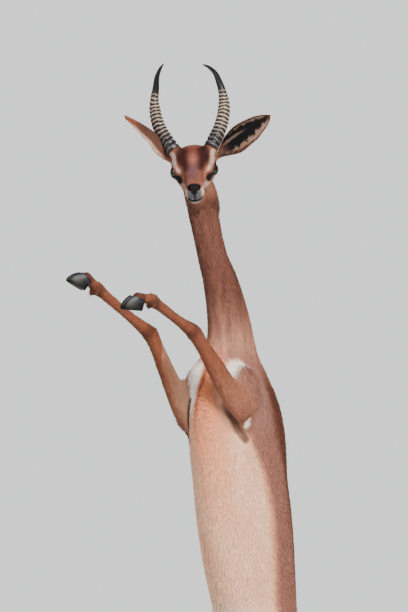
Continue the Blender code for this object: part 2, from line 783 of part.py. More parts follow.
def horn_shape(side):
    places = HORN_LINE if side > 0 else HORN_LINE[: -len(RIGHT_TIP)] + RIGHT_TIP
    line = [(side * x, y, z, r, r, r) for x, y, z, r in places]
    fine = smooth_rows(line, 0.002)
    at = np.concatenate([[0], np.cumsum(np.linalg.norm(np.diff(fine[:, :3], axis=0), axis=1))])
    ringed = at[-1] * RINGED
    stops = []
    for ring in range(HORN_RINGS):
        start = ringed * (ring / HORN_RINGS) ** 0.94
        end = ringed * ((ring + 1) / HORN_RINGS) ** 0.94
        fade = 1 - 0.45 * (ring / HORN_RINGS) ** 3
        stops += [(start, -0.5 * fade), (start + (end - start) * 0.55, 1.0 * fade)]
    stops += [(ringed, -0.3)] + [(s, 0) for s in np.linspace(ringed, at[-1], 9)[1:]]
    rows = []
    for place, rise in stops:
        row = np.array([np.interp(place, at, fine[:, k]) for k in range(6)])
        row[3:] += RING_RISE * rise
        row[3] *= 0.94
        row[4] *= 1.06
        rows.append(row)
    return loft(rows, (side, 0, 0), step=None, sides=10, domes=(0, 0.8))


# Ears: along the length, how wide the cup's arc is and how far round it goes on each side
EAR_ROWS = (
    (-0.09, 0.0115, 170),
    (0.06, 0.0130, 150),
    (0.18, 0.0190, 116),
    (0.32, 0.0270, 88),
    (0.47, 0.0335, 66),
    (0.62, 0.0345, 57),
    (0.76, 0.0310, 49),
    (0.88, 0.0235, 43),
    (0.96, 0.0135, 39),
    (1.00, 0.0040, 38),
)
EARS = {  # the tip's place, and how far the cup is turned from facing out and down to facing forward
    1: ((0.188, 0.050, 0.098), 82),
    -1: ((-0.160, 0.050, 0.127), 0),
}
EAR_ROOT = (0.050, 0.062, 0.014)


def ear_object(name, side):
    """An open cup, drawn in the head's frame and thickened."""
    tip, turn = EARS[side]
    root = np.array(EAR_ROOT) * (side, 1, 1)
    along = np.array(tip) - root
    length = np.linalg.norm(along)
    along = along / length
    forward = unit(np.array((0, -1, 0)) - along * (along @ np.array((0, -1, 0))))
    lowered = unit(np.cross(along, forward)) * side
    lowered = lowered if lowered[2] < 0 else -lowered
    opening = lowered * cos(radians(turn)) + forward * sin(radians(turn))
    across = np.cross(along, opening)
    steps = 9
    points, faces = [], []
    for row, (share, radius, spread) in enumerate(EAR_ROWS):
        bend = 0.010 * sin(pi * min(max(share, 0), 1))
        spine = root + along * length * share - opening * (0.0125 + bend)
        for k in range(steps):
            angle = radians(spread) * (2 * k / (steps - 1) - 1)
            points.append(spine + opening * radius * (1 - cos(angle)) + across * radius * sin(angle))
        for k in range(steps - 1) if row else ():
            a, b = (row - 1) * steps + k, row * steps + k
            faces.append((a, a + 1, b + 1, b))
    made = new_object(name, points, faces, parts, FACE)
    thick = made.modifiers.new("thickness", "SOLIDIFY")
    thick.thickness = EAR_THICK
    thick.offset = 0
    baked(made)
    put_points(made.data, placed((points_of(made.data), None), HEAD_FRAME)[0])
    return made


# Hooves: each foot has its own frame, X to the side, Y to the toe and Z up, from the sole under the coronet


def foot_frame(leg):
    turn = Matrix.Rotation(radians(leg["yaw"]), 3, "Z") @ Matrix.Rotation(radians(-leg["pitch"]), 3, "X")
    toe, up = turn @ Vector((0, -1, 0)), turn @ Vector((0, 0, 1))
    if leg["pitch"]:
        sole = Vector(leg["coronet"]) - up * HOOF_HEIGHT
    else:
        sole = Vector((leg["coronet"][0], leg["coronet"][1], GROUND))
    frame = Matrix((toe.cross(up), toe, up)).transposed().to_4x4()
    frame.translation = sole
    return frame


CORONET_RISE = 0.38  # how much the top of the hoof climbs towards the toe
# Up a claw from the sole: how far the toe reaches, and the share of the claw's width
CLAW_LEVELS = ((0, 0.0345, 0.92), (0.12, 0.0372, 1), (0.55, 0.0290, 0.97), (1, 0.0152, 0.90))


def claw_shape(leg, side):
    """One of the two claws of a foot, as rings of a rounded half-teardrop from the sole up."""
    frame = foot_frame(leg)
    high = (frame.inverted() @ Vector(leg["coronet"])).z - GAP
    sides = 12
    points = []
    for level, reach, width in CLAW_LEVELS:
        for k in range(sides):
            angle = 2 * pi * k / sides
            c, s = cos(angle), sin(angle)
            y = s * (reach if s > 0 else HEEL_REACH * (HEEL_SOLE + (1 - HEEL_SOLE) * level))
            inward = c < 0
            x = abs(c) ** (0.5 if inward else 0.85) * (-1 if inward else 1) * (1 - 0.5 * max(s, 0) ** 2)
            x = CLAW_WIDTH / 2 * (1.0 + x * width) + 0.0008
            x += 0.06 * max(y, 0)
            points.append((side * x, y, level * (high + CORONET_RISE * y)))
    points = np.array(points)
    tips = [points[:sides].mean(axis=0), points[-sides:].mean(axis=0)]
    return placed(tube(points, tips, len(CLAW_LEVELS), sides), frame)


# The tail hangs from the rump, and its tuft is made of flat locks
TAIL = (
    (0, 0.095, 0.885, 0.020, 0.020, 0.018),
    (0, 0.137, 0.855, 0.0135, 0.012, 0.012),
    (0, 0.162, 0.800, 0.0105, 0.009, 0.009),
    (0, 0.168, 0.740, 0.0090, 0.008, 0.008),
    (0, 0.164, 0.690, 0.0080, 0.007, 0.007),
)
TUFT_LENGTH = 0.120
TUFT_LOCKS = 11
LOCK_ROWS = ((0, 0.0050, 0.0022), (0.3, 0.0068, 0.0028), (0.7, 0.0050, 0.0020), (1, 0.0010, 0.0007))


def tuft_pieces():
    top = np.array(TAIL[-1][:3]) - (0, 0, GAP)
    end = top - (0, 0.016, TUFT_LENGTH * 0.62)
    core = []
    for share, wide in ((0, 0.0085), (0.4, 0.0115), (1, 0.0040)):
        core.append((*(top + (end - top) * share), wide, wide * 0.85, wide * 0.85))
    yield new_object("tuft_core", *loft(core, (1, 0, 0), sides=8, domes=(0, 0.8), step=0.02), helpers)
    chance = np.random.default_rng(7)
    for lock in range(TUFT_LOCKS):
        angle = 2 * pi * (lock * 0.382)
        out = np.array((cos(angle), sin(angle), 0))
        share = 0.04 + 0.5 * lock / TUFT_LOCKS
        root = top + (end - top) * share + out * 0.0030
        length = TUFT_LENGTH * (0.55 + 0.20 * chance.random())
        spread = 0.010 + 0.008 * chance.random()
        rows = []
        for t, width, thick in LOCK_ROWS:
            place = root + out * (0.004 + spread * sin(pi * t * 0.75)) + (0, -0.012 * t * t, -length * t)
            rows.append((*place, width, thick, thick))
        shape = loft(rows, np.cross(out, (0, 0, 1)), step=None, sides=5, domes=(0, 0))
        yield new_object(f"lock_{lock}", *shape, helpers)


# The face: lids, nostrils and mouth are cut into the head


def lid_opening(side):
    """An almond, drawn out from the eyeball's centre like a cone, wide from corner to corner."""
    gaze = unit(np.array((side * 0.90, -0.39, 0.16)))
    corner = unit(np.array((side * 0.15, -0.90, -0.42)))
    corner = unit(corner - gaze * (corner @ gaze))
    lift = np.cross(gaze, corner)
    count = 16
    outline = []
    for k in range(count):
        angle = 2 * pi * k / count
        outline.append((0.0160 * cos(angle), 0.0074 * sin(angle) * (1 - 0.30 * cos(angle) ** 4)))
    centre = np.array(EYE_AT) * (side, 1, 1)
    points = []
    for far in (0.3, 2.6):
        for along, up in outline:
            points.append(centre + far * (gaze * EYE_RADIUS * 0.72 + corner * along + lift * up))
    points = np.array(points)
    tips = [points[:count].mean(axis=0), points[count:].mean(axis=0)]
    return placed(tube(points, tips, 2, count), HEAD_FRAME)


MOUTH_HEIGHT = -0.0240  # at the middle of the lips, in the head's frame


def mouth_blade():
    """A thin blade round the muzzle, sharp on its inner edge, that cuts the line of the mouth."""
    sections = []
    for k in range(25):
        angle = pi * (k / 24 - 0.5)
        side, fore = sin(angle), cos(angle) ** 0.55
        up = MOUTH_HEIGHT + 0.0055 * abs(side) ** 2
        outer = np.array((0.030 * side, -(0.082 + 0.066 * fore), up))
        inner = np.array((0.0170 * side, -(0.084 + 0.0450 * fore), up))
        wide = 0.0006
        sections += [outer + (0, 0, wide), outer - (0, 0, wide), inner]
    points = np.array(sections)
    tips = [points[:3].mean(axis=0), points[-3:].mean(axis=0)]
    return placed(tube(points, tips, 25, 3), HEAD_FRAME)


def nostril(side):
    turn = turned_towards((side * 0.55, -0.80, 0.25), (side * 0.6, 0.2, 0.8))
    pit = ellipsoid((side * 0.0112, -0.1345, 0.0085), (0.0030, 0.0052, 0.0070), turn, 8, 10)
    return placed(pit, HEAD_FRAME)


def gland(side):
    turn = turned_towards((side * 0.9, -0.3, 0.3), (0, -0.9, -0.4))
    slit = ellipsoid((side * 0.0365, -0.037, -0.006), (0.0022, 0.0075, 0.0035), turn, 8, 10)
    return placed(slit, HEAD_FRAME)


def carve(whole, name, shape):
    cutter = new_object(name, *shape, helpers)
    boolean(whole, cutter, "DIFFERENCE")
    drop(cutter)


# Putting the animal together

skin = make_skin()

for word, leg in (("left", LEFT_FORE), ("right", RIGHT_FORE), ("left", LEFT_HIND), ("right", RIGHT_HIND)):
    frame = foot_frame(leg)
    into_hoof = np.array(frame.to_3x3() @ Vector((0, CORONET_RISE, -1)))
    under = slab("hoof_cutter", leg["coronet"], into_hoof, (0, 1, 0.2), (0.08, 0.08, 0.05), 0)
    boolean(skin, under, "DIFFERENCE")
    drop(under)
    fore = leg in (LEFT_FORE, RIGHT_FORE)
    for place, side in (("outer", 1), ("inner", -1)):
        side *= 1 if leg["coronet"][0] > 0 else -1
        hoof_name = f"hoof_{word}_{'fore' if fore else 'hind'}_{place}"
        new_object(hoof_name, *claw_shape(leg, -side), parts, HOOF)


def bisector(leg, above, at, below):
    places = [np.array(leg[name]) for name in (above, at, below)]
    return unit(unit(places[1] - places[0]) + unit(places[2] - places[1]))


for word, leg in (("left", LEFT_FORE), ("right", RIGHT_FORE)):
    side = 1 if word == "left" else -1
    way = bisector(leg, "elbow", "carpus", "fetlock")
    cut_off(skin, f"foreleg_{word}_cannon", BROWN, leg["carpus"], way, (0.12, 0.30, 0.45))
    inner = (side * 0.056, -0.150, 1.450)
    out = (side * 0.97, -0.20, -0.10)
    cut_off(skin, f"foreleg_{word}_arm", BROWN, inner, out, (0.30, 0.30, 0.2), (0, 0.1, 1))

for word, leg in (("left", LEFT_HIND), ("right", RIGHT_HIND)):
    way = bisector(leg, "knee", "hock", "fetlock")
    cut_off(skin, f"hindleg_{word}_cannon", BROWN, leg["hock"], way, (0.16, 0.40, 0.5))
    way = bisector(leg, "hip", "knee", "hock")
    cut_off(skin, f"hindleg_{word}_shank", BROWN, leg["knee"], way, (0.19, 0.45, 0.5))
    cut_thigh(skin, 1 if word == "left" else -1, f"hindleg_{word}_thigh")

throat = in_head((0, 0.066, -0.020))
head = cut_off(skin, "head", FACE, throat, head_way((0, -0.934, 0.356)), (0.32, 0.32, 0.35))
cut_off(skin, "neck", BROWN, (0, -0.058, 1.505), (0, -0.12, 0.99), (0.30, 0.34, 0.6))
torso = keep_largest(skin)
torso.name = "torso"
helpers.objects.unlink(torso)
parts.objects.link(torso)
torso.hide_render = False
torso.display_type = "TEXTURED"
torso.data.materials.clear()
torso.data.materials.append(PALE)

for word, side in (("left", 1), ("right", -1)):
    base = np.array(HORN_LINE[0][:3]) * (side, 1, 1)
    above = np.array(HORN_LINE[1][:3]) * (side, 1, 1)
    horn = new_object(f"horn_{word}", *placed(horn_shape(side), HEAD_FRAME), parts, HORN)
    rise, back = head_way(above - base), head_way((0, 1, 0))
    foot = slab("horn_cutter", in_head(base), rise, back, HORN_CUTTER, GAP)
    boolean(head, foot, "DIFFERENCE")
    drop(foot)

for word, side in (("left", 1), ("right", -1)):
    ear = ear_object(f"ear_{word}", side)
    for neighbour in (head, bpy.data.objects[f"horn_{word}"]):
        around = grown(neighbour, GAP)
        boolean(ear, around, "DIFFERENCE")
        drop(around)
        keep_largest(ear)
    ear.data.materials.clear()
    ear.data.materials.append(FACE)
    eye_centre = in_head(np.array(EYE_AT) * (side, 1, 1))
    bpy.ops.mesh.primitive_ico_sphere_add(subdivisions=3, radius=EYE_RADIUS, location=eye_centre)
    eye = bpy.context.active_object
    eye.name = f"eye_{word}"
    for owner in list(eye.users_collection):
        owner.objects.unlink(eye)
    parts.objects.link(eye)
    eye.data.materials.append(EYE)
    hollow = ellipsoid(eye_centre, [EYE_RADIUS + GAP * 1.6] * 3, rings=14, sides=22)
    carve(head, "socket", hollow)
    carve(head, "lids", lid_opening(side))
    carve(head, "nostril", nostril(side))
    carve(head, "gland", gland(side))
carve(head, "mouth", mouth_blade())
keep_largest(head)

tail = new_object("tail", *loft(TAIL, (1, 0, 0), sides=10, domes=(0.8, 0), step=0.024), parts, BROWN)
around = grown(torso, GAP)
boolean(tail, around, "DIFFERENCE")
drop(around)
keep_largest(tail)
tail.data.materials.clear()
tail.data.materials.append(BROWN)
tuft = union_of("tail_tuft", list(tuft_pieces()), TUFT)
around = grown(tail, GAP)
boolean(tuft, around, "DIFFERENCE")
drop(around)
keep_largest(tuft)
tuft.data.materials.clear()
tuft.data.materials.append(TUFT)

bpy.ops.mesh.primitive_cube_add(size=1, location=(0, 0, BASE_SIZE[2] / 2))
base = bpy.context.active_object
base.name = "stand_base"
for owner in list(base.users_collection):
    owner.objects.unlink(base)
parts.objects.link(base)
put_points(base.data, points_of(base.data) * BASE_SIZE)
base.data.materials.append(BASE)
plate = bmesh.new()
plate.from_mesh(base.data)
upright = [edge for edge in plate.edges if abs(edge.verts[0].co.z - edge.verts[1].co.z) > 0.01]
bmesh.ops.bevel(plate, geom=upright, offset=BASE_CORNER, segments=6, affect="EDGES", profile=0.5)
plate.to_mesh(base.data)
plate.free()
rim = base.modifiers.new("rim", "BEVEL")
rim.width = BASE_RIM
rim.segments = 2
rim.limit_method = "ANGLE"
rim.angle_limit = radians(50)
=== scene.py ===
"""A gerenuk reared up on its hind legs to browse, as a still, life-size museum model.

The animal's left is +X, its back is +Y, and Z is up, in metres, as in the CAD model.
"""

import json
from math import cos, pi, radians, sin

import bmesh
import bpy
import numpy as np
from mathutils import Matrix, Vector

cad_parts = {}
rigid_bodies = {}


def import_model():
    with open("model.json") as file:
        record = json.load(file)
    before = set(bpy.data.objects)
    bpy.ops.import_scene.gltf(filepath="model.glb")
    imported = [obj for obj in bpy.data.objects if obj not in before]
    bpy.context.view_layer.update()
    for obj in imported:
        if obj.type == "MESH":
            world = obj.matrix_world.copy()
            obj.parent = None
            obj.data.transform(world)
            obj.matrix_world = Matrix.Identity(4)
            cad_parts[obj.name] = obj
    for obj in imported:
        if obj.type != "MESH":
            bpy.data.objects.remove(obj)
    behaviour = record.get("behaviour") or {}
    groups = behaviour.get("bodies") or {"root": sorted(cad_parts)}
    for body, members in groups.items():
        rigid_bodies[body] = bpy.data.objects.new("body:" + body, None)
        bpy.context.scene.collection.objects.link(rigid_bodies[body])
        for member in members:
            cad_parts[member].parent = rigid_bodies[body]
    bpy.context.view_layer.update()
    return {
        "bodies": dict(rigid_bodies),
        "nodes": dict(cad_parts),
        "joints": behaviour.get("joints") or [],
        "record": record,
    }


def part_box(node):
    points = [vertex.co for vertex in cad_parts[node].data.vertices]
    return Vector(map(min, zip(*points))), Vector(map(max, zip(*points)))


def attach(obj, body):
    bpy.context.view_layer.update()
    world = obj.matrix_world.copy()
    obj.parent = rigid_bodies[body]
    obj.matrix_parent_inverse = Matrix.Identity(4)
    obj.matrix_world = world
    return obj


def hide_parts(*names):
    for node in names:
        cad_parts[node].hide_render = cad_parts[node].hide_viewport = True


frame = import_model()

# The camera, far off at the height of the chest, looks at the left front of the animal with a long lens,
# so that the head, the neck and the raised forelegs fill the picture and the belly runs out of its foot.

camera_data = bpy.data.cameras.new("camera")
camera = bpy.data.objects.new("camera", camera_data)
bpy.context.scene.collection.objects.link(camera)
bpy.context.scene.camera = camera
LOOK_AZIMUTH, LOOK_ELEVATION, LOOK_DISTANCE = 40.0, 1.5, 15.0
LOOK_AT = Vector((-0.0746, -0.0626, 1.617))
PICTURE_HEIGHT = 1.469  # metres, at the animal
turn, tilt = radians(LOOK_AZIMUTH), radians(LOOK_ELEVATION)
back = Vector((sin(turn) * cos(tilt), -cos(turn) * cos(tilt), sin(tilt)))
camera.location = LOOK_AT + back * LOOK_DISTANCE
camera.rotation_euler = back.to_track_quat("Z", "Y").to_euler()
camera_data.sensor_fit = "VERTICAL"
camera_data.sensor_height = 36
camera_data.lens = 36 * LOOK_DISTANCE / PICTURE_HEIGHT
camera_data.clip_end = 100

# The flesh: a real gerenuk is long-necked and slim-legged, and its muscles
# show through a short coat. It is modelled from rows of named sizes and lenses
# of muscle, fused and evened out, and then drawn in by the depth of the coat.

BASE_SIZE = (0.60, 0.60, 0.03)
GAP = 0.0003
GROUND = BASE_SIZE[2] + GAP
EYE_RADIUS = 0.0165
EYE_AT = (0.0395, 0.0, 0.004)
LID = 0.0034
HEAD_FRAME = (
    Matrix.Translation((0.0546, -0.2521, 1.9405))
    @ Matrix.Rotation(radians(40), 4, "Z")
    @ Matrix.Rotation(radians(20), 4, "X")
    @ Matrix.Rotation(radians(-5.5), 4, "Y")
)
HEAD_TURN = np.array(HEAD_FRAME.to_3x3())
HEAD_PLACE = np.array(HEAD_FRAME.translation)
VOXEL = 0.0042
HEAD_ZOOM = 2.5  # the head is worked on this much larger, so that its faces come out smaller
HEAD_REACH = 0.165
EVEN_ROUNDS = 120
FACE_EVENED = 0.03
FILL_ROUNDS = 90


def new_mesh_object(name, points, faces, smooth=True):
    mesh = bpy.data.meshes.new(name)
    mesh.from_pydata([tuple(p) for p in points], [], [tuple(int(k) for k in f) for f in faces])
    mesh.validate()
    mesh.polygons.foreach_set("use_smooth", [smooth] * len(mesh.polygons))
    made = bpy.data.objects.new(name, mesh)
    bpy.context.scene.collection.objects.link(made)
    return made


def points_of(mesh):
    points = np.empty(len(mesh.vertices) * 3)
    mesh.vertices.foreach_get("co", points)
    return points.reshape(-1, 3)


def put_points(mesh, points):
    mesh.vertices.foreach_set("co", np.asarray(points, float).ravel())
    mesh.update()


def normals_of(mesh):
    normals = np.empty(len(mesh.vertices) * 3)
    mesh.vertex_normals.foreach_get("vector", normals)
    return normals.reshape(-1, 3)


def baked(made):
    mesh = bpy.data.meshes.new_from_object(made.evaluated_get(bpy.context.evaluated_depsgraph_get()))
    made.modifiers.clear()
    made.data = mesh
    return made


def smooth_rows(rows, step):
    """The rows again, about every step along a smooth curve through them."""
    rows = np.array(rows, float)
    at = np.concatenate([[0], np.cumsum(np.linalg.norm(np.diff(rows[:, :3], axis=0), axis=1))])
    slopes = np.gradient(rows, at, axis=0)
    want = np.linspace(0, at[-1], max(5, round(at[-1] / step) + 1))
    i = np.clip(np.searchsorted(at, want, side="right") - 1, 0, len(at) - 2)
    length = (at[i + 1] - at[i])[:, None]
    t = (want - at[i])[:, None] / length
    return (
        (2 * t**3 - 3 * t**2 + 1) * rows[i]
        + (t**3 - 2 * t**2 + t) * length * slopes[i]
        + (3 * t**2 - 2 * t**3) * rows[i + 1]
        + (t**3 - t**2) * length * slopes[i + 1]
    )


def unit(vectors):
    return vectors / np.linalg.norm(vectors, axis=-1, keepdims=True)


def loft(rows, side, step=0.01, sides=28, domes=(0.8, 0.8), square=2.0):
    """Points and faces of a closed tube along rows of x, y, z and the radii to the side, front and back.

    Without a step the rows are used as they are. An end with no dome is flat.
    """
    rows = smooth_rows(rows, step) if step else np.array(rows, float)
    along = unit(np.gradient(rows[:, :3], axis=0))
    across = np.array(side, float)
    across = unit(across - along * (along @ across)[:, None])
    front = np.cross(across, along)
    caps, tips = ([], []), []
    for end, way, dome in ((0, -along[0], domes[0]), (-1, along[-1], domes[1])):
        high = dome * rows[end, 3:].min()
        for turn in np.radians([75, 50, 25]) if dome else ():
            cap = rows[end].copy()
            cap[:3] += way * high * sin(turn)
            cap[3:] *= cos(turn)
            caps[end].append(cap)
        tips.append(rows[end, :3] + way * high)
    rings = np.array([*caps[0], *rows, *caps[1][::-1]])
    pick = [0] * len(caps[0]) + list(range(len(rows))) + [len(rows) - 1] * len(caps[1])
    across, front = across[pick], front[pick]
    angle = np.arange(sides) * 2 * pi / sides
    power = 2 / square
    c = np.sign(np.cos(angle)) * np.abs(np.cos(angle)) ** power
    s = np.sign(np.sin(angle)) * np.abs(np.sin(angle)) ** power
    deep = np.where(s > 0, rings[:, 4:5], rings[:, 5:6])
    points = (
        rings[:, None, :3]
        + across[:, None] * (rings[:, 3:4] * c)[..., None]
        + front[:, None] * (deep * s)[..., None]
    ).reshape(-1, 3)
    return tube(points, tips, len(rings), sides)


def tube(points, tips, count, sides):
    """A closed body from rings of points, all with as many sides, and the two tips that close its ends."""
    faces = []
    for ring in range(count - 1):
        for k in range(sides):
            a, b = ring * sides + k, ring * sides + (k + 1) % sides
            faces.append((a, b, b + sides, a + sides))
    low, high = count * sides, count * sides + 1
    last = (count - 1) * sides
    for k in range(sides):
        n = (k + 1) % sides
        faces.append((low, n, k))
        faces.append((high, last + k, last + n))
    return facing_out(np.vstack([points, tips]), faces)


def facing_out(points, faces):
    points = np.asarray(points, float)
    middle = points.mean(axis=0)
    volume = 0.0
    for face in faces:
        a = points[face[0]] - middle
        for k in range(1, len(face) - 1):
            volume += np.dot(a, np.cross(points[face[k]] - middle, points[face[k + 1]] - middle))
    return (points, faces) if volume > 0 else (points, [tuple(reversed(face)) for face in faces])


def ellipsoid(centre, radii, turn=None, rings=18, sides=28):
    """Points and faces of an ellipsoid, its radii along X, Y and Z before the turn."""
    points = [(0, 0, -1)]
    for ring in range(1, rings):
        polar = pi * ring / rings
        for k in range(sides):
            angle = 2 * pi * k / sides
            points.append((sin(polar) * cos(angle), sin(polar) * sin(angle), -cos(polar)))
    points.append((0, 0, 1))
    points = np.array(points) * radii
    if turn is not None:
        points = points @ np.array(turn).T
    faces = []
    for k in range(sides):
        n = (k + 1) % sides
        faces.append((0, 1 + n, 1 + k))
        for ring in range(rings - 2):
            a, b = 1 + ring * sides + k, 1 + ring * sides + n
            faces.append((a, b, b + sides, a + sides))
        top = 1 + (rings - 2) * sides
        faces.append((len(points) - 1, top + k, top + n))
    return facing_out(points + np.array(centre), faces)


def turned_towards(direction, up=(0, 0, 1)):
    """The rotation whose Z runs along the direction and whose Y leans to up."""
    z = unit(np.array(direction, float))
    x = unit(np.cross(np.array(up, float), z))
    return np.column_stack([x, np.cross(z, x), z])


def muscle(start, end, width, depth, out):
    """A lens of flesh from start to end, this wide, and this deep along out."""
    start, end = np.array(start, float), np.array(end, float)
    turn = turned_towards(end - start, out)
    return ellipsoid((start + end) / 2, (width / 2, depth / 2, np.linalg.norm(end - start) / 2), turn)


def placed(shape, frame):
    points, faces = shape
    turn, move = np.array(frame)[:3, :3], np.array(frame)[:3, 3]
    return points @ turn.T + move, faces


def joined(shapes):
    points, faces, count = [], [], 0
    for some, theirs in shapes:
        points.append(some)
        faces += [tuple(k + count for k in face) for face in theirs]
        count += len(some)
    return np.vstack(points), faces


# The trunk, row by row from the rump up: height, y, half width, depth of belly side, depth of back side
TRUNK = (
    (0.740, 0.085, 0.045, 0.045, 0.045),
    (0.800, 0.075, 0.085, 0.085, 0.060),
    (0.870, 0.055, 0.098, 0.110, 0.085),
    (0.950, 0.035, 0.099, 0.125, 0.108),
    (1.030, 0.017, 0.101, 0.133, 0.122),
    (1.120, 0.000, 0.100, 0.138, 0.130),
    (1.220, -0.018, 0.096, 0.138, 0.128),
    (1.320, -0.037, 0.091, 0.136, 0.122),
    (1.400, -0.052, 0.084, 0.124, 0.115),
    (1.460, -0.058, 0.068, 0.096, 0.100),
    (1.520, -0.060, 0.052, 0.067, 0.074),
)
# The neck from the chest up: y, height, half width, half depth
NECK = (
    (-0.045, 1.420, 0.066, 0.085),
    (-0.0510, 1.505, 0.057, 0.072),
    (-0.0555, 1.557, 0.0495, 0.0610),
    (-0.0725, 1.627, 0.0430, 0.0520),
    (-0.0920, 1.680, 0.0380, 0.0460),
    (-0.118, 1.733, 0.0335, 0.039),
    (-0.136, 1.785, 0.033, 0.038),
    (-0.152, 1.838, 0.0345, 0.040),
    (-0.170, 1.895, 0.036, 0.040),
    (-0.192, 1.936, 0.033, 0.032),
)


def trunk_shapes():
    rows = [(0, y, z, half, belly, back) for z, y, half, belly, back in TRUNK]
    yield loft(rows, (1, 0, 0), sides=72)
    rows = [(0, y, z, half, deep, deep) for y, z, half, deep in NECK]
    yield loft(rows, (1, 0, 0), sides=60)
    # breastbone, withers and the spine's low ridge
    yield muscle((0, -0.138, 1.18), (0, -0.100, 1.47), 0.070, 0.070, (0, 1, 0))
    yield muscle((0, 0.064, 1.16), (0, 0.004, 1.54), 0.060, 0.062, (0, 1, 0))
    yield muscle((0, 0.098, 0.90), (0, 0.082, 1.34), 0.070, 0.070, (0, 1, 0))
    # nape and throat
    yield muscle(HEAD_FRAME @ Vector((0, 0.040, 0.010)), (0, -0.112, 1.820), 0.068, 0.052, (0, 1, 0))
    yield muscle(HEAD_FRAME @ Vector((0, 0.030, -0.034)), (0, -0.180, 1.840), 0.050, 0.046, (0, 1, 0))
    for side in (-1, 1):
        # shoulder blade, breast and the muscles over the ribs
        yield muscle((side * 0.030, 0.030, 1.475), (side * 0.068, -0.108, 1.345), 0.110, 0.060, (1, 0, 0))
        yield muscle((side * 0.036, 0.020, 1.455), (side * 0.060, 0.030, 1.10), 0.140, 0.062, (1, 0, 0))
        yield muscle((side * 0.026, -0.112, 1.50), (side * 0.046, -0.120, 1.38), 0.070, 0.070, (0, 1, 0))
        yield muscle((side * 0.050, -0.010, 1.36), (side * 0.060, 0.005, 1.04), 0.130, 0.070, (1, 0, 0))
        # loin and the point of the hip
        yield muscle((side * 0.052, 0.050, 1.02), (side * 0.060, 0.060, 0.82), 0.110, 0.080, (1, 0, 0))
        yield ellipsoid((side * 0.072, 0.022, 0.925), (0.026, 0.038, 0.050))
    # sheath and scrotum, small and close to the body
    yield muscle((0, -0.062, 0.985), (0, -0.010, 0.850), 0.022, 0.034, (0, 1, 0))
    yield ellipsoid((0, 0.030, 0.730), (0.021, 0.023, 0.030))


# The skull with the upper jaw, and the lower jaw, both in the head's frame: forward, half width, top, bottom
SKULL = (
    (-0.094, 0.026, 0.018, -0.034),
    (-0.072, 0.0385, 0.0400, -0.046),
    (-0.042, 0.0475, 0.0485, -0.050),
    (-0.010, 0.0478, 0.0425, -0.046),
    (0.020, 0.0402, 0.0325, -0.038),
    (0.050, 0.0285, 0.0275, -0.030),
    (0.080, 0.0225, 0.0245, -0.024),
    (0.105, 0.0205, 0.0232, -0.0230),
    (0.122, 0.0205, 0.0208, -0.0215),
    (0.131, 0.0175, 0.0165, -0.0170),
)
JAW = (
    (-0.055, 0.028, 0.005, -0.058),
    (-0.030, 0.032, 0.002, -0.0580),
    (0.000, 0.028, 0.000, -0.0490),
    (0.040, 0.0205, -0.006, -0.0410),
    (0.080, 0.0180, 0.000, -0.0370),
    (0.106, 0.0185, 0.000, -0.0355),
    (0.124, 0.0165, 0.000, -0.0335),
)


def head_loft(rows, square):
    rows = [
        (0, -forward, (top + bottom) / 2, half, (top - bottom) / 2, (top - bottom) / 2)
        for forward, half, top, bottom in rows
    ]
    return loft(rows, (1, 0, 0), step=0.004, sides=40, domes=(0.55, 0.55), square=square)


def head_shapes():
    """The flesh of the head in its own frame."""
    yield head_loft(SKULL, 2.6)
    yield head_loft(JAW, 2.2)
    # muzzle pad and chin
    yield ellipsoid((0, -0.121, 0.008), (0.0180, 0.0140, 0.0132))
    yield ellipsoid((0, -0.1210, -0.0250), (0.0145, 0.0125, 0.0088))
    eye = np.array(EYE_AT)
    for side in (-1, 1):
        flip = np.array((side, 1, 1))
        # wings of the nostrils and the upper lip
        yield ellipsoid(flip * (0.0115, -0.122, 0.0082), (0.0080, 0.0130, 0.0100))
        yield ellipsoid(flip * (0.0110, -0.109, -0.0110), (0.0125, 0.0225, 0.0110))
        # ring of flesh round the eye, brow and cheekbone
        yield ellipsoid(flip * eye, [EYE_RADIUS + LID] * 3, rings=16, sides=24)
        yield muscle(flip * (0.038, 0.040, 0.026), flip * (0.034, -0.036, 0.011), 0.037, 0.030, (0, 0, 1))
        yield muscle(flip * (0.040, 0.030, 0.004), flip * (0.024, -0.050, -0.008), 0.040, 0.028, (1, 0, 0))
        yield muscle(flip * (0.038, 0.036, -0.012), flip * (0.018, -0.072, -0.016), 0.026, 0.024, (0, 0, 1))
        # cheek, and the flesh that the ear and the horn stand on
        yield muscle(flip * (0.026, 0.050, -0.040), flip * (0.018, -0.030, -0.026), 0.040, 0.028, (1, 0, 0))
        yield muscle(flip * (0.020, 0.056, -0.010), flip * (0.056, 0.063, 0.020), 0.031, 0.033, (0, 1, 0))
        yield muscle(flip * (0.018, 0.014, 0.004), flip * (0.053, 0.046, 0.062), 0.036, 0.037, (0, 1, 0))


# Each leg: its joints from the body down, and how many degrees its toe points up and
# to the left. Then the radii to the side, front and back at shares of each bone.
LEFT_FORE = {
    "shoulder": (0.066, -0.094, 1.462),
    "elbow": (0.088, -0.113, 1.363),
    "carpus": (0.067, -0.267, 1.562),
    "fetlock": (0.105, -0.467, 1.644),
    "coronet": (0.100, -0.512, 1.648),
    "pitch": 5,
    "yaw": -25,
}
RIGHT_FORE = {
    "shoulder": (-0.064, -0.090, 1.452),
    "elbow": (-0.083, -0.106, 1.334),
    "carpus": (-0.113, -0.214, 1.553),
    "fetlock": (-0.109, -0.416, 1.667),
    "coronet": (-0.114, -0.450, 1.692),
    "pitch": 30,
    "yaw": -28,
}
LEFT_HIND = {
    "hip": (0.062, 0.050, 0.865),
    "knee": (0.100, -0.055, 0.660),
    "hock": (0.095, 0.075, 0.400),
    "fetlock": (0.100, 0.030, 0.125),
    "coronet": (0.102, -0.004, 0.062),
    "pitch": 0,
    "yaw": 0,
}
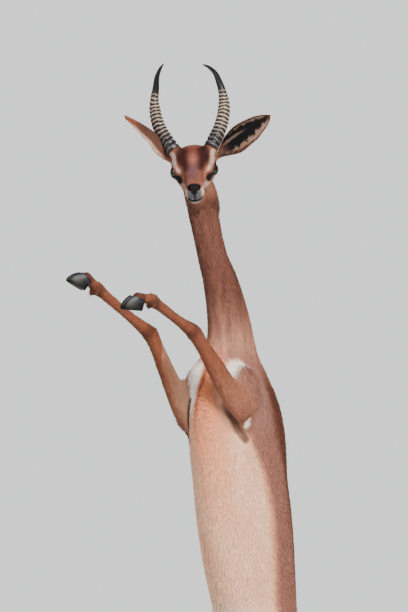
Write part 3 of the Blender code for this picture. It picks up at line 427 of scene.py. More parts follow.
RIGHT_HIND = {
    "hip": (-0.062, 0.050, 0.865),
    "knee": (-0.100, -0.040, 0.655),
    "hock": (-0.100, 0.100, 0.405),
    "fetlock": (-0.105, 0.075, 0.125),
    "coronet": (-0.107, 0.041, 0.062),
    "pitch": 0,
    "yaw": 0,
}
UPPER_ARM = ((0, 0.030, 0.036, 0.045), (0.5, 0.030, 0.036, 0.052), (1, 0.024, 0.026, 0.032))
FOREARM = (
    (0, 0.0260, 0.0280, 0.0320),
    (0.15, 0.0285, 0.0320, 0.0320),
    (0.35, 0.0260, 0.0295, 0.0285),
    (0.60, 0.0205, 0.0235, 0.0220),
    (0.85, 0.0172, 0.0180, 0.0176),
    (1, 0.0190, 0.0185, 0.0195),
)
FORE_CANNON = (
    (0, 0.0190, 0.0180, 0.0195),
    (0.12, 0.0172, 0.0158, 0.0172),
    (0.30, 0.0130, 0.0118, 0.0150),
    (0.70, 0.0122, 0.0112, 0.0142),
    (0.90, 0.0145, 0.0124, 0.0152),
    (1, 0.0172, 0.0152, 0.0182),
)
THIGH = ((0, 0.046, 0.075, 0.080), (0.5, 0.044, 0.060, 0.074), (1, 0.031, 0.036, 0.044))
SHANK = (
    (0, 0.0320, 0.0340, 0.0460),
    (0.25, 0.0285, 0.0270, 0.0440),
    (0.50, 0.0195, 0.0195, 0.0320),
    (0.75, 0.0142, 0.0160, 0.0260),
    (0.92, 0.0145, 0.0165, 0.0270),
    (1, 0.0175, 0.0185, 0.0240),
)
HIND_CANNON = (
    (0, 0.0180, 0.0190, 0.0240),
    (0.10, 0.0162, 0.0160, 0.0220),
    (0.25, 0.0124, 0.0122, 0.0158),
    (0.60, 0.0111, 0.0108, 0.0138),
    (0.88, 0.0128, 0.0118, 0.0148),
    (1, 0.0162, 0.0145, 0.0175),
)
PASTERN = ((0, 0.0160, 0.0142, 0.0170), (0.45, 0.0136, 0.0120, 0.0125), (1, 0.0158, 0.0150, 0.0150))


def bone(start, end, radii, bulge=(0, 0, 0)):
    start, end = np.array(start), np.array(end)
    rows = []
    for share, side, front, back in radii:
        place = start + (end - start) * share + np.array(bulge) * sin(pi * share)
        rows.append((*place, side, front, back))
    return loft(rows, (-1, 0, 0), step=0.006, sides=40)


def behind(along):
    """The way that the back of a leg bone faces."""
    return unit(np.cross((1, 0, 0), along))


def foreleg_shapes(leg):
    outward = 1 if leg["elbow"][0] > 0 else -1
    yield bone(leg["shoulder"], leg["elbow"], UPPER_ARM)
    yield bone(leg["elbow"], leg["carpus"], FOREARM)
    yield bone(leg["carpus"], leg["fetlock"], FORE_CANNON)
    yield bone(leg["fetlock"], leg["coronet"], PASTERN)
    elbow, carpus = np.array(leg["elbow"]), np.array(leg["carpus"])
    fetlock, coronet = np.array(leg["fetlock"]), np.array(leg["coronet"])
    down, back = unit(carpus - elbow), behind(carpus - elbow)
    # point of the elbow, the muscle behind the upper arm, and the one on the forearm
    yield muscle(elbow - down * 0.026 + back * 0.006, elbow + down * 0.045, 0.034, 0.040, back)
    shoulder = np.array(leg["shoulder"])
    yield muscle(shoulder + (0, 0.050, 0.01), elbow + (0, 0.022, -0.002), 0.046, 0.066, (0, 1, 0))
    top = elbow + (outward * 0.004, -0.010, 0.012)
    yield muscle(top, elbow + (carpus - elbow) * 0.60, 0.034, 0.036, back)
    # the bone at the back of the wrist and the dewclaws
    yield ellipsoid(carpus + back * 0.013, (0.0115, 0.0100, 0.0130))
    yield from dewclaws(fetlock, behind(coronet - fetlock))


def dewclaws(fetlock, back):
    for side in (-1, 1):
        yield ellipsoid(fetlock + back * 0.0175 + (side * 0.0085, 0, 0), (0.0055, 0.0065, 0.0075))


def hindleg_shapes(leg):
    outward = 1 if leg["hip"][0] > 0 else -1
    hip, knee, hock = (np.array(leg[name]) for name in ("hip", "knee", "hock"))
    fetlock, coronet = np.array(leg["fetlock"]), np.array(leg["coronet"])
    yield bone(hip, knee, THIGH)
    yield bone(knee, hock, SHANK)
    yield bone(hock, fetlock, HIND_CANNON)
    yield bone(fetlock, coronet, PASTERN)
    # buttock and hamstring, the muscle in front of the thigh, and the kneecap
    yield muscle(hip + (0, 0.060, 0.010), knee + (0, 0.060, -0.055), 0.070, 0.085, (0, 1, 0))
    yield muscle(hip + (outward * 0.006, -0.045, 0.030), knee + (0, -0.006, 0.010), 0.070, 0.075, (0, 1, 0))
    yield ellipsoid(knee + (0, -0.018, 0.004), (0.020, 0.020, 0.028))
    # calf, the cord down to the heel, and the heel bone
    shin = hock - knee
    yield muscle(knee + (0, 0.020, 0.010), knee + shin * 0.62 + (0, 0.012, 0), 0.048, 0.060, (0, 1, 0))
    yield muscle(knee + shin * 0.45 + (0, 0.024, 0), hock + (0, 0.030, 0.020), 0.014, 0.022, (0, 1, 0))
    yield muscle(hock + (0, 0.012, -0.045), hock + (0, 0.030, 0.032), 0.022, 0.028, (0, 1, 0))
    yield from dewclaws(fetlock, behind(coronet - fetlock))


def magnified(points):
    """The points with all that lies round the head made larger, and the rest pushed out."""
    away = points - HEAD_PLACE
    far = np.linalg.norm(away, axis=1, keepdims=True)
    grow = np.where(far <= HEAD_REACH, HEAD_ZOOM, 1 + (HEAD_ZOOM - 1) * HEAD_REACH / np.maximum(far, 1e-9))
    return HEAD_PLACE + away * grow


def shrunk_back(points):
    away = points - HEAD_PLACE
    far = np.linalg.norm(away, axis=1, keepdims=True)
    near = far <= HEAD_REACH * HEAD_ZOOM
    back = np.where(near, 1 / HEAD_ZOOM, (far - (HEAD_ZOOM - 1) * HEAD_REACH) / np.maximum(far, 1e-9))
    return HEAD_PLACE + away * back


def neighbour_mean(points, edges, count):
    a, b = edges.T
    total = np.empty_like(points)
    for axis in range(3):
        total[:, axis] = np.bincount(a, points[b, axis], len(points))
        total[:, axis] += np.bincount(b, points[a, axis], len(points))
    return total / count[:, None]


def relaxed(points, edges, rounds):
    """The points evened out, without shrinking what they enclose."""
    count = np.bincount(edges.ravel(), minlength=len(points))
    for _ in range(rounds):
        for step in (0.5, -0.52):
            points = points + step * (neighbour_mean(points, edges, count) - points)
    return points


def filled(points, edges, faces, rounds):
    """The points with their creases filled, as flesh runs over muscles: only hollows move, outward."""
    count = np.bincount(edges.ravel(), minlength=len(points))
    for turn in range(rounds):
        if turn % 4 == 0:
            corners = points[faces]
            across = np.cross(corners[:, 2] - corners[:, 0], corners[:, 3] - corners[:, 1])
            normals = np.zeros_like(points)
            for axis in range(3):
                for corner in range(4):
                    normals[:, axis] += np.bincount(faces[:, corner], across[:, axis], len(points))
            normals = unit(normals)
        rise = ((neighbour_mean(points, edges, count) - points) * normals).sum(axis=1)
        points = points + normals * (0.6 * np.maximum(rise, 0))[:, None]
    return points


def in_head(points):
    """World places as places in the head's own frame."""
    return (points - HEAD_PLACE) @ HEAD_TURN


def out_of_head(points):
    return points @ HEAD_TURN.T + HEAD_PLACE


def thick_flesh(points):
    """1 in the trunk, thighs and neck, where the flesh is thick, falling to 0 in a leg or the head."""
    y, z = points[:, 1], points[:, 2]
    trunk = np.interp(z, (0.66, 0.78, 0.90, 1.50, 1.58, 1.80), (0, 0.4, 1, 1, 0.15, 0))
    trunk = trunk * np.clip((y + 0.19) / 0.04, 0, 1)
    neck = np.clip((z - 1.74) / 0.06, 0, 1) * np.clip((in_head(points)[:, 1] - 0.050) / 0.025, 0, 1)
    return np.maximum(trunk, neck)


def evened(points, edges, amount, rounds):
    """The points smoothed plainly, so that one muscle runs into the next, each as far as its amount says."""
    count = np.bincount(edges.ravel(), minlength=len(points))
    for _ in range(rounds):
        points = points + 0.5 * amount[:, None] * (neighbour_mean(points, edges, count) - points)
    return points


def edges_of(mesh):
    edges = np.empty(len(mesh.edges) * 2, np.int64)
    mesh.edges.foreach_get("vertices", edges)
    return edges.reshape(-1, 2)


TAIL = (
    (0, 0.095, 0.885, 0.020, 0.020, 0.018),
    (0, 0.137, 0.855, 0.0135, 0.012, 0.012),
    (0, 0.162, 0.800, 0.0105, 0.009, 0.009),
    (0, 0.168, 0.740, 0.0090, 0.008, 0.008),
    (0, 0.164, 0.690, 0.0080, 0.007, 0.007),
)

shapes = [*trunk_shapes(), *(placed(shape, HEAD_FRAME) for shape in head_shapes())]
for leg in (LEFT_FORE, RIGHT_FORE):
    shapes += foreleg_shapes(leg)
for leg in (LEFT_HIND, RIGHT_HIND):
    shapes += hindleg_shapes(leg)
shapes.append(loft(TAIL, (1, 0, 0), sides=20, domes=(0.8, 0.3), step=0.006))
points, faces = joined(shapes)
skin = new_mesh_object("skin", magnified(points), faces)
fuse = skin.modifiers.new("fuse", "REMESH")
fuse.mode = "VOXEL"
fuse.voxel_size = VOXEL
baked(skin)
points, edges = points_of(skin.data), edges_of(skin.data)
corners = np.empty(len(skin.data.polygons) * 4, np.int64)
skin.data.polygons.foreach_get("vertices", corners)
corners = corners.reshape(-1, 4)
points = relaxed(points, edges, 4)
amount = np.maximum(thick_flesh(shrunk_back(points)), FACE_EVENED)
points = evened(points, edges, amount, EVEN_ROUNDS)
points = filled(points, edges, corners, FILL_ROUNDS)
points = relaxed(points, edges, 6)
put_points(skin.data, shrunk_back(points))
skin.data.polygons.foreach_set("use_smooth", [True] * len(skin.data.polygons))


# The face is carved into that skin: almond lids over the eyeballs, the slit of the scent gland
# before each eye, comma-shaped nostrils, the groove under the nose and the closed line of the mouth.

MOUTH_HEIGHT = -0.0240  # at the middle of the lips, in the head's frame


def mouth_height(local):
    """How high the line of the mouth runs, which climbs at the corners."""
    climb = 0.0050 * np.minimum(1, (local[:, 0] / 0.0190) ** 2)
    return MOUTH_HEIGHT + climb + 0.10 * np.maximum(0, local[:, 1] + 0.105)


def eye_axes(side):
    gaze = unit(np.array((side * 0.90, -0.39, 0.16)))
    corner = np.array((side * 0.15, -0.90, -0.42))
    corner = unit(corner - gaze * (corner @ gaze))
    lift = np.cross(gaze, corner)
    return gaze, corner, lift if lift[2] > 0 else -lift


LID_WIDTH, LID_HEIGHT = 1.32, 0.66  # half the opening, against how far off the eyeball's centre it is seen


def lid_reach(local, side):
    """How far out each point lies from the middle of the lids' opening, with 1 at its edge."""
    gaze, corner, lift = eye_axes(side)
    away = local - np.array(EYE_AT) * (side, 1, 1)
    far = np.linalg.norm(away, axis=1)
    ahead = away @ gaze / np.maximum(far, 1e-9)
    flat = np.maximum(ahead, 0.05) * np.maximum(far, 1e-9)
    a, b = away @ corner / flat / LID_WIDTH, away @ lift / flat / LID_HEIGHT
    turn = np.arctan2(b, a)
    b = b / (1 - 0.30 * np.cos(turn) ** 4)
    reach = np.where(ahead > 0.12, np.hypot(a, b), 9.0)
    return np.where(far < 0.040, reach, 9.0), far, b > 0


def refine(made, wanted):
    """Divides the faces whose corners are all wanted."""
    mesh = bmesh.new()
    mesh.from_mesh(made.data)
    places = np.array([tuple(v.co) for v in mesh.verts])
    pick = wanted(in_head(places))
    chosen = {e for e in mesh.edges if pick[e.verts[0].index] and pick[e.verts[1].index]}
    bmesh.ops.subdivide_edges(mesh, edges=list(chosen), cuts=1, use_grid_fill=True)
    bmesh.ops.triangulate(mesh, faces=[f for f in mesh.faces if len(f.verts) > 4])
    mesh.to_mesh(made.data)
    mesh.free()


def near_lids(local, low=0.0, high=2.0):
    reach = np.minimum(lid_reach(local, 1)[0], lid_reach(local, -1)[0])
    return (reach < high) & (reach >= low)


def muzzle_end(local):
    return (local[:, 1] < -0.078) & (np.abs(local[:, 0]) < 0.03)


def ramp(values, low, high):
    t = np.clip((values - low) / (high - low), 0, 1)
    return t * t * (3 - 2 * t)


def stripe(points, line, width, soft=0.5):
    """1 along a line of places, falling to 0 at its width."""
    line = np.array(line, float)
    nearest = np.full(len(points), 9.0)
    for start, end in zip(line[:-1], line[1:]):
        way = end - start
        t = np.clip((points - start) @ way / (way @ way), 0, 1)
        nearest = np.minimum(nearest, np.linalg.norm(points - start - t[:, None] * way, axis=1))
    return 1 - ramp(nearest / width, 1 - soft, 1 + soft)


refine(skin, muzzle_end)
refine(skin, near_lids)
refine(skin, lambda local: near_lids(local, 0.6, 1.35))
bpy.context.view_layer.update()

# How deep the coat is, which is how far the skin lies inside the CAD model's flesh
COAT_DEEP = 0.0024
COAT_LEG = 0.0013
COAT_FACE = 0.0007


def leg_share(points):
    """Where a leg is slim and its coat short: 1 from the wrist or the hock down."""
    y, z = points[:, 1], points[:, 2]
    fore = ramp(-y, 0.17, 0.26) * (z < 1.72)
    hind = ramp(-z, -0.46, -0.40)
    return np.maximum(fore, hind)


def head_share(local):
    """1 on the face and the crown, falling to 0 on the nape and the throat."""
    near = np.linalg.norm(local, axis=1) < 0.20
    return ramp(-local[:, 1], -0.090, -0.030) * ramp(local[:, 2], -0.095, -0.060) * near


def coat_depth(points):
    local = in_head(points)
    deep = COAT_DEEP + (COAT_LEG - COAT_DEEP) * leg_share(points)
    deep = deep + (COAT_FACE - deep) * head_share(local)
    bare = ramp(-local[:, 1], 0.100, 0.118) * (head_share(local) > 0.5)
    return deep + (0.0001 - deep) * bare


# Folds of skin between the chest and the raised upper arms, carved in, and painted near-black as painted
# shade
ARMPITS = (
    (
        (0.060, -0.158, 1.386),
        (0.0672, -0.1503, 1.369),
        (0.0756, -0.138, 1.350),
        (0.0786, -0.118, 1.3256),
        (0.0829, -0.091, 1.301),
    ),
    ((-0.046, -0.152, 1.392), (-0.052, -0.146, 1.350), (-0.060, -0.136, 1.310)),
)
ARMPIT_DEEP = 0.0065


def near_armpits(local):
    points = out_of_head(local)
    return np.maximum(stripe(points, ARMPITS[0], 0.016), stripe(points, ARMPITS[1], 0.016)) > 0.3


refine(skin, near_armpits)
bpy.context.view_layer.update()
points, normals = points_of(skin.data), normals_of(skin.data)
points = points - normals * coat_depth(points)[:, None]
for line in ARMPITS:
    points = points - normals * (ARMPIT_DEEP * stripe(points, line, 0.0075, 0.95))[:, None]
local, turned = in_head(points), normals @ HEAD_TURN
for side in (-1, 1):
    reach, far, upper = lid_reach(local, side)
    centre = np.array(EYE_AT) * (side, 1, 1)
    wanted = np.where(
        reach < 1.0,
        EYE_RADIUS * 0.86 + (EYE_RADIUS * 0.14 + 0.0004) * ramp(reach, 0.90, 1.0),
        EYE_RADIUS + 0.0006 + 0.0012 * ramp(reach, 1.0, 1.14),
    )
    crease = np.exp(-(((reach - 1.42) / 0.10) ** 2)) * np.where(upper, 0.0009, 0.0005)
    hold = 1 - ramp(reach, 1.12, 1.75)
    wanted = far + (wanted - far) * hold - crease
    near = reach < 2.2
    away = local[near] - centre
    local[near] = centre + away / far[near, None] * wanted[near, None]

NOSTRIL_AT = (0.0112, -0.1345, 0.0085)
GLAND_AT = (0.0365, -0.037, -0.006)
for side in (-1, 1):
    turn = turned_towards((side * 0.55, -0.80, 0.25), (side * 0.6, 0.2, 0.8))
    q = (local - np.array(NOSTRIL_AT) * (side, 1, 1)) @ turn
    wide = 0.0022 + 0.0012 * ramp(q[:, 1], -0.004, 0.004)
    off = np.hypot(q[:, 0] / wide, q[:, 1] / 0.0056)
    pit = (1 - ramp(off, 0.75, 1.35)) * (np.abs(q[:, 2]) < 0.012)
    rim = np.exp(-((off - 1.55) ** 2) / 0.08) * (np.abs(q[:, 2]) < 0.010)
    local = local - turn[:, 2] * (0.0062 * pit)[:, None] + turn[:, 2] * (0.0006 * rim)[:, None]
    turn = turned_towards((side * 0.9, -0.3, 0.3), (0, -0.9, -0.4))
    gland = (local - np.array(GLAND_AT) * (side, 1, 1)) @ turn
    slit = np.exp(-((gland[:, 0] / 0.0022) ** 2) - (gland[:, 1] / 0.0075) ** 2)
    slit = slit * (np.abs(gland[:, 2]) < 0.010)
    local = local - turned * (0.0016 * slit)[:, None]
x, y, z = local.T
lip_share = ramp(-y, 0.078, 0.092)
off_mouth = np.abs(z - mouth_height(local))
groove = np.exp(-((off_mouth / 0.0012) ** 2)) * lip_share
lips = np.exp(-(((off_mouth - 0.0032) / 0.0016) ** 2)) * lip_share
under_nose = np.exp(-((x / 0.0009) ** 2)) * ramp(-y, 0.118, 0.126) * ramp(z, -0.0225, -0.0200)
under_nose = under_nose * (1 - ramp(z, 0.001, 0.005))
local = local - turned * (0.0022 * groove + 0.0012 * under_nose - 0.0005 * lips)[:, None]
put_points(skin.data, out_of_head(local))


# The markings: a rufous coat with a darker saddle, a pale belly with a soft
# border, white patches on the breast with a rufous line between them, and on
# the face a white ring, a black scent spot, dark temples and a pale muzzle.


def tone(red, green, blue):
    """A colour given as a screen shows it, from 0 to 255, as light."""
    share = np.array((red, green, blue)) / 255
    return np.where(share <= 0.04045, share / 12.92, ((share + 0.055) / 1.055) ** 2.4)


def over(base, colour, amount):
    return base + (colour - base) * np.asarray(amount)[:, None]


def spot(points, centre, radii, soft=0.35):
    """1 inside an ellipsoid, falling to 0 outside it."""
    far = np.linalg.norm((points - np.array(centre)) / np.array(radii), axis=1)
    return 1 - ramp(far, 1 - soft, 1 + soft)


def drift(points, size, seed):
    """A slow, smooth unevenness between about -1 and 1, over this many metres."""
    chance = np.random.default_rng(seed)
    total = np.zeros(len(points))
    for _ in range(7):
        way = unit(chance.normal(size=3)) * (0.7 + 0.8 * chance.random()) * 2 * pi / size
        total += np.sin(points @ way + chance.random() * 2 * pi)
    return total / 3.5


NECK_TONE, SADDLE, FLANK = tone(136, 101, 90), tone(122, 86, 72), tone(168, 130, 118)
BELLY, BELLY_WARM = tone(238, 204, 182), tone(232, 182, 154)
WHITE, STERNUM = tone(250, 243, 235), tone(226, 161, 128)
LEG_TONE, LEG_PALE, LEG_DARK = tone(154, 108, 88), tone(214, 180, 160), tone(80, 56, 48)
FACE_BROWN, TEMPLE, CROWN = tone(152, 110, 94), tone(78, 42, 40), tone(160, 104, 84)
FACE_WHITE, FACE_BLACK, MUZZLE_GREY = tone(222, 206, 194), tone(10, 9, 11), tone(118, 118, 128)
TRUNK_LINE = np.array([(row[0], row[1]) for row in TRUNK])
# How far round from the middle of the belly its pale coat reaches: height, degrees
BELLY_REACH = np.array((
    (0.66, 60),
    (0.80, 60),
    (0.90, 62),
    (1.00, 72),
    (1.13, 80),
    (1.22, 74),
    (1.29, 60),
    (1.36, 46),
    (1.43, 40),
    (1.50, 20),
))


def body_tones(points):
    x, y, z = points.T
    middle = np.interp(z, TRUNK_LINE[:, 0], TRUNK_LINE[:, 1])
    round_trunk = np.degrees(np.arctan2(np.abs(x), middle - y))
    uneven = drift(points, 0.11, 3)
    border = np.interp(z, *BELLY_REACH.T)
    colour = np.tile(FLANK, (len(points), 1))
    colour = over(colour, SADDLE, ramp(round_trunk + 5 * uneven, 116, 140) * ramp(-z, -1.50, -1.40))
    pale = 1 - ramp(round_trunk + 4 * drift(points, 0.05, 5), border - 9, border + 7)
    pale = pale * ramp(-z, -1.50, -1.45)
    colour = over(colour, BELLY_WARM, 1 - ramp(round_trunk, border - 4, border + 16))
    colour = over(colour, BELLY, pale)
    colour = over(colour, BELLY_WARM, 0.35 * pale * np.clip(0.5 + uneven, 0, 1))
    leftward = np.degrees(np.arctan2(x, middle - y))
    right_patch = ramp(-leftward, 2, 10) * (1 - ramp(-leftward, 62, 80)) * ramp(z, 1.345, 1.400)
    left_patch = ramp(leftward, 30, 38) * (1 - ramp(leftward, 62, 76)) * ramp(z, 1.395, 1.430)
    patch = np.maximum(right_patch, left_patch) * ramp(-z, -1.502, -1.485)
    colour = over(colour, WHITE, patch * ramp(-y, 0.055, 0.085))
    line = ramp(leftward + 4 * uneven, -9, 1) * (1 - ramp(leftward + 7 * uneven, 20, 44))
    line = line * np.interp(z, (1.02, 1.20, 1.33, 1.42, 1.50), (0, 0.38, 0.75, 1, 1)) * (z < 1.60)
    colour = over(colour, STERNUM, line)
    # Painted shade: a thin darker line along the border between the right white patch and the rufous line.
    edge = np.exp(-(((leftward + 1 + 2 * uneven) / 3.5) ** 2)) * ramp(z, 1.33, 1.40) * ramp(-z, -1.50, -1.46)
    colour = over(colour, tone(150, 88, 62), 0.7 * edge)
    shoulder = ramp(leftward, 66, 78) * (1 - ramp(leftward, 110, 126)) * ramp(z, 1.30, 1.36)
    colour = over(colour, tone(172, 137, 129), 0.85 * (shoulder * ramp(-z, -1.50, -1.46)))
    up_neck = ramp(z, 1.470, 1.535)
    neck = np.tile(NECK_TONE, (len(points), 1))
    # Painted light: the lower neck is painted paler, where the light falls on it more.
    neck = over(neck, tone(190, 150, 134), ramp(-z, -1.68, -1.50))
    neck = over(neck, tone(126, 88, 74), 0.4 * ramp(y, -0.13, -0.05) * ramp(z, 1.55, 1.70))
    streaks = 0.13 * drift(points * (7, 7, 0.8), 0.15, 11) + 0.07 * drift(points * (9, 9, 1), 0.05, 12)
    # The streaks are the hair's own; the top of the neck is painted darker, as painted shadow under the
    # head.
    neck = neck * (1 + streaks - 0.14 * ramp(z, 1.78, 1.88))[:, None]
    colour = over(colour, neck, up_neck)
    groin = ramp(-z, -0.93, -0.83) * (1 - ramp(np.abs(x), 0.060, 0.090)) * (z > 0.60)
    colour = over(colour, WHITE, groin)
    return colour


def leg_tones(points, colour):
    x, y, z = points.T
    for leg in (LEFT_FORE, RIGHT_FORE):
        side = 1 if leg["elbow"][0] > 0 else -1
        elbow, carpus, fetlock = (np.array(leg[name]) for name in ("elbow", "carpus", "fetlock"))
        upper = stripe(points, (leg["shoulder"], elbow), 0.052, 0.22)
        lower = stripe(points, (elbow, carpus, fetlock, leg["coronet"]), 0.046, 0.2)
        colour = over(colour, FLANK, upper * ramp(x * side, 0.066, 0.084))
        along, reach = unit(carpus - elbow), np.linalg.norm(carpus - elbow)
        near_elbow = 1 - ramp((points - elbow) @ along / reach, 0.05, 0.75)
        arm = over(np.tile(LEG_TONE, (len(points), 1)), tone(172, 130, 112), near_elbow)
        colour = colour + (arm - colour) * lower[:, None]
        inside = (points - elbow) @ np.cross(along, np.cross((side, 0, 0), along))
        colour = over(colour, LEG_PALE, 0.62 * lower * ramp(-inside, 0.002, 0.024) * (y > carpus[1] + 0.02))
        wrist = spot(points, carpus + (0, -0.012, 0.010), (0.022, 0.024, 0.030))
        heel = fetlock + behind(np.array(leg["coronet"]) - fetlock) * 0.016
        colour = over(colour, LEG_DARK, 0.45 * wrist)
        colour = over(colour, LEG_DARK, 0.55 * spot(points, heel, (0.026, 0.024, 0.022)))
        colour = over(colour, FACE_BLACK, 0.5 * spot(points, leg["coronet"], (0.030, 0.018, 0.022)))
    for leg, side, size in ((LEFT_FORE, 1, (0.015, 0.014, 0.015)), (RIGHT_FORE, -1, (0.020, 0.018, 0.020))):
        tuft = np.array(leg["elbow"]) + (side * 0.006, 0.020, -0.022)
        colour = over(colour, WHITE, spot(points, tuft, size))
    for leg in (LEFT_HIND, RIGHT_HIND):
        side = 1 if leg["hip"][0] > 0 else -1
        knee, fetlock = np.array(leg["knee"]), np.array(leg["fetlock"])
        share = ramp(-z, -0.80, -0.64)
        colour = over(colour, LEG_TONE, share * (x * side > 0) * ramp(x * side, 0.050, 0.085))
        inner = share * (x * side > 0) * (1 - ramp(x * side, knee[0] * side - 0.016, knee[0] * side + 0.004))
        colour = over(colour, LEG_PALE, 0.9 * inner * ramp(z, 0.36, 0.46))
        colour = over(colour, LEG_TONE, (x * side > 0) * ramp(-z, -0.42, -0.36))
        colour = over(colour, LEG_DARK, 0.5 * spot(points, fetlock + (0, 0.014, 0), (0.024, 0.022, 0.024)))
        colour = over(colour, FACE_BLACK, 0.5 * spot(points, leg["coronet"], (0.030, 0.028, 0.016)))
    return colour


def rump_tones(points, colour):
    x, y, z = points.T
    patch = spot(points, (0, 0.128, 0.815), (0.040, 0.055, 0.085))
    colour = over(colour, WHITE, patch * (np.abs(x) < 0.08))
    tail = stripe(points, [row[:3] for row in TAIL[1:]], 0.020, 0.2)
    colour = over(colour, tone(128, 82, 60), tail * ramp(y, 0.130, 0.145))
    return over(colour, FACE_BLACK, tail * ramp(-z, -0.75, -0.70))


# Soft spots on both halves of the face: colour, strength, centre, radii, softness
FACE_SPOTS = (
    (CROWN, 0.9, (0, 0.034, 0.050), (0.022, 0.040, 0.026), 0.35),
    (TEMPLE, 0.97, (0.0235, 0.002, 0.040), (0.0180, 0.044, 0.022), 0.4),
    (TEMPLE, 0.92, (0.0155, -0.036, 0.032), (0.0120, 0.030, 0.016), 0.4),
    (tone(132, 80, 70), 0.75, (0, 0.004, 0.044), (0.0150, 0.036, 0.020), 0.6),
    # a painted highlight: the pale pink spot on the middle of the forehead
    (tone(190, 146, 134), 0.62, (0, -0.016, 0.037), (0.0110, 0.026, 0.017), 1.0),
    (tone(142, 106, 110), 0.9, (0, -0.074, 0.027), (0.0160, 0.044, 0.016), 0.5),
    (tone(150, 108, 90), 0.8, (0, -0.118, 0.020), (0.0110, 0.016, 0.009), 0.5),
)
# The pale streak over each eye, which narrows from the horn to the scent gland: places, width
BROW = (
    (((0.047, 0.024, 0.040), (0.0475, 0.006, 0.0325)), 0.0066),
    (((0.0475, 0.006, 0.0325), (0.041, -0.018, 0.021)), 0.0058),
    (((0.041, -0.018, 0.021), (0.031, -0.048, 0.0135), (0.0275, -0.064, 0.009)), 0.0042),
)


def face_tones(points):
    local = in_head(points)
    x, back, up = local.T
    wide, fore = np.abs(x), -back
    even = np.column_stack([wide, back, up])
    colour = np.tile(FACE_BROWN, (len(points), 1))
    colour = over(colour, tone(176, 140, 122), ramp(-up, 0.004, 0.030) * ramp(fore, -0.06, 0.0))
    for mark, strength, centre, radii, soft in FACE_SPOTS:
        colour = over(colour, mark, strength * spot(even, centre, radii, soft))
    bridge_side = stripe(even, ((0.022, -0.062, 0.016), (0.0195, -0.110, 0.008)), 0.0055)
    colour = over(colour, tone(150, 92, 62), 0.7 * bridge_side)
    ring = np.max([stripe(even, line, width) for line, width in BROW], axis=0)
    under = stripe(even, ((0.055, 0.020, -0.006), (0.054, 0.002, -0.019), (0.044, -0.022, -0.020)), 0.0062)
    colour = over(colour, tone(206, 190, 180), 0.72 * ring)
    colour = over(colour, FACE_WHITE, 0.62 * under)
    cheek = stripe(even, ((0.034, -0.046, -0.012), (0.024, -0.080, -0.010)), 0.0085)
    colour = over(colour, tone(192, 168, 154), 0.8 * cheek)
    colour = over(colour, FACE_BLACK, spot(even, (0.0345, -0.038, -0.003), (0.012, 0.0180, 0.0092), 0.3))
    for side in (-1, 1):
        reach = lid_reach(local, side)[0]
        colour = over(colour, FACE_BLACK, 1 - ramp(reach, 1.36, 1.58))
        corner = spot(local, (side * 0.041, -0.022, -0.001), (0.010, 0.011, 0.0066), 0.4)
        colour = over(colour, FACE_BLACK, corner)
    muzzle = ramp(fore, 0.090, 0.108)
    sides = muzzle * ramp(wide, 0.0125, 0.0165) * ramp(-up, -0.010, -0.002)
    colour = over(colour, tone(206, 188, 176), sides)
    lip = ramp(fore, 0.100, 0.114) * (1 - ramp(wide, 0.0140, 0.0190)) * ramp(-up, -0.006, 0.000)
    stipple = 0.5 + 0.5 * drift(points, 0.0042, 31)
    colour = over(colour, MUZZLE_GREY, 0.95 * lip)
    colour = over(colour, tone(60, 58, 64), 0.55 * lip * np.clip(stipple, 0, 1))
    colour = over(colour, tone(196, 192, 192), 0.35 * lip * ramp(drift(points, 0.0034, 32), 0.2, 0.8))
    colour = over(colour, FACE_WHITE, ramp(fore, 0.085, 0.110) * ramp(-up, 0.0275, 0.0300))
    pad = spot(even, (0.0, -0.1340, 0.0100), (0.0168, 0.0130, 0.0090), 0.18)
    pad = np.maximum(pad, spot(even, (0.0, -0.1335, 0.0015), (0.0088, 0.0120, 0.0088), 0.3))
    colour = over(colour, FACE_BLACK, pad)
    seam = np.exp(-((x / 0.0022) ** 2)) * ramp(fore, 0.118, 0.124) * ramp(up, -0.024, -0.020) * (up < 0.006)
    colour = over(colour, FACE_BLACK, 0.9 * seam)
    line = np.exp(-(((up - mouth_height(local)) / 0.0024) ** 2)) * ramp(fore, 0.086, 0.100)
    colour = over(colour, FACE_BLACK, line)
    nape = ramp(back, 0.050, 0.085)
    return over(colour, NECK_TONE, nape)


def coat_tones(points):
    """The colour of the coat at each place, for the skin and for the hair that grows from it, with painted
    shade in the armpit folds.
    """
    colour = rump_tones(points, leg_tones(points, body_tones(points)))
    # Painted shade: the armpit folds are painted near-black.
    for line in ARMPITS:
        colour = over(colour, tone(30, 18, 18), 0.97 * stripe(points, line, 0.0095, 0.45))
    local = in_head(points)
    headed = ramp(-local[:, 1], -0.100, -0.060) * ramp(local[:, 2], -0.100, -0.066)
    headed = headed * (np.linalg.norm(local, axis=1) < 0.2)
    return np.clip(over(colour, face_tones(points), headed), 0, 1)


DEEPENED = 1.50  # darkens the browns against the whites, to suit the bright studio light


def paint(made, name, colours):
    """Keeps a colour for each point of a mesh."""
    colours = colours**DEEPENED
    layer = made.data.color_attributes.new(name, "FLOAT_COLOR", "POINT")
    layer.data.foreach_set("color", np.column_stack([colours, np.ones(len(colours))]).ravel())


paint(skin, "coat", coat_tones(points_of(skin.data)))


# How the hair lies: from the nose back over the head, down
# the neck and the trunk, and down each leg to its hoof.

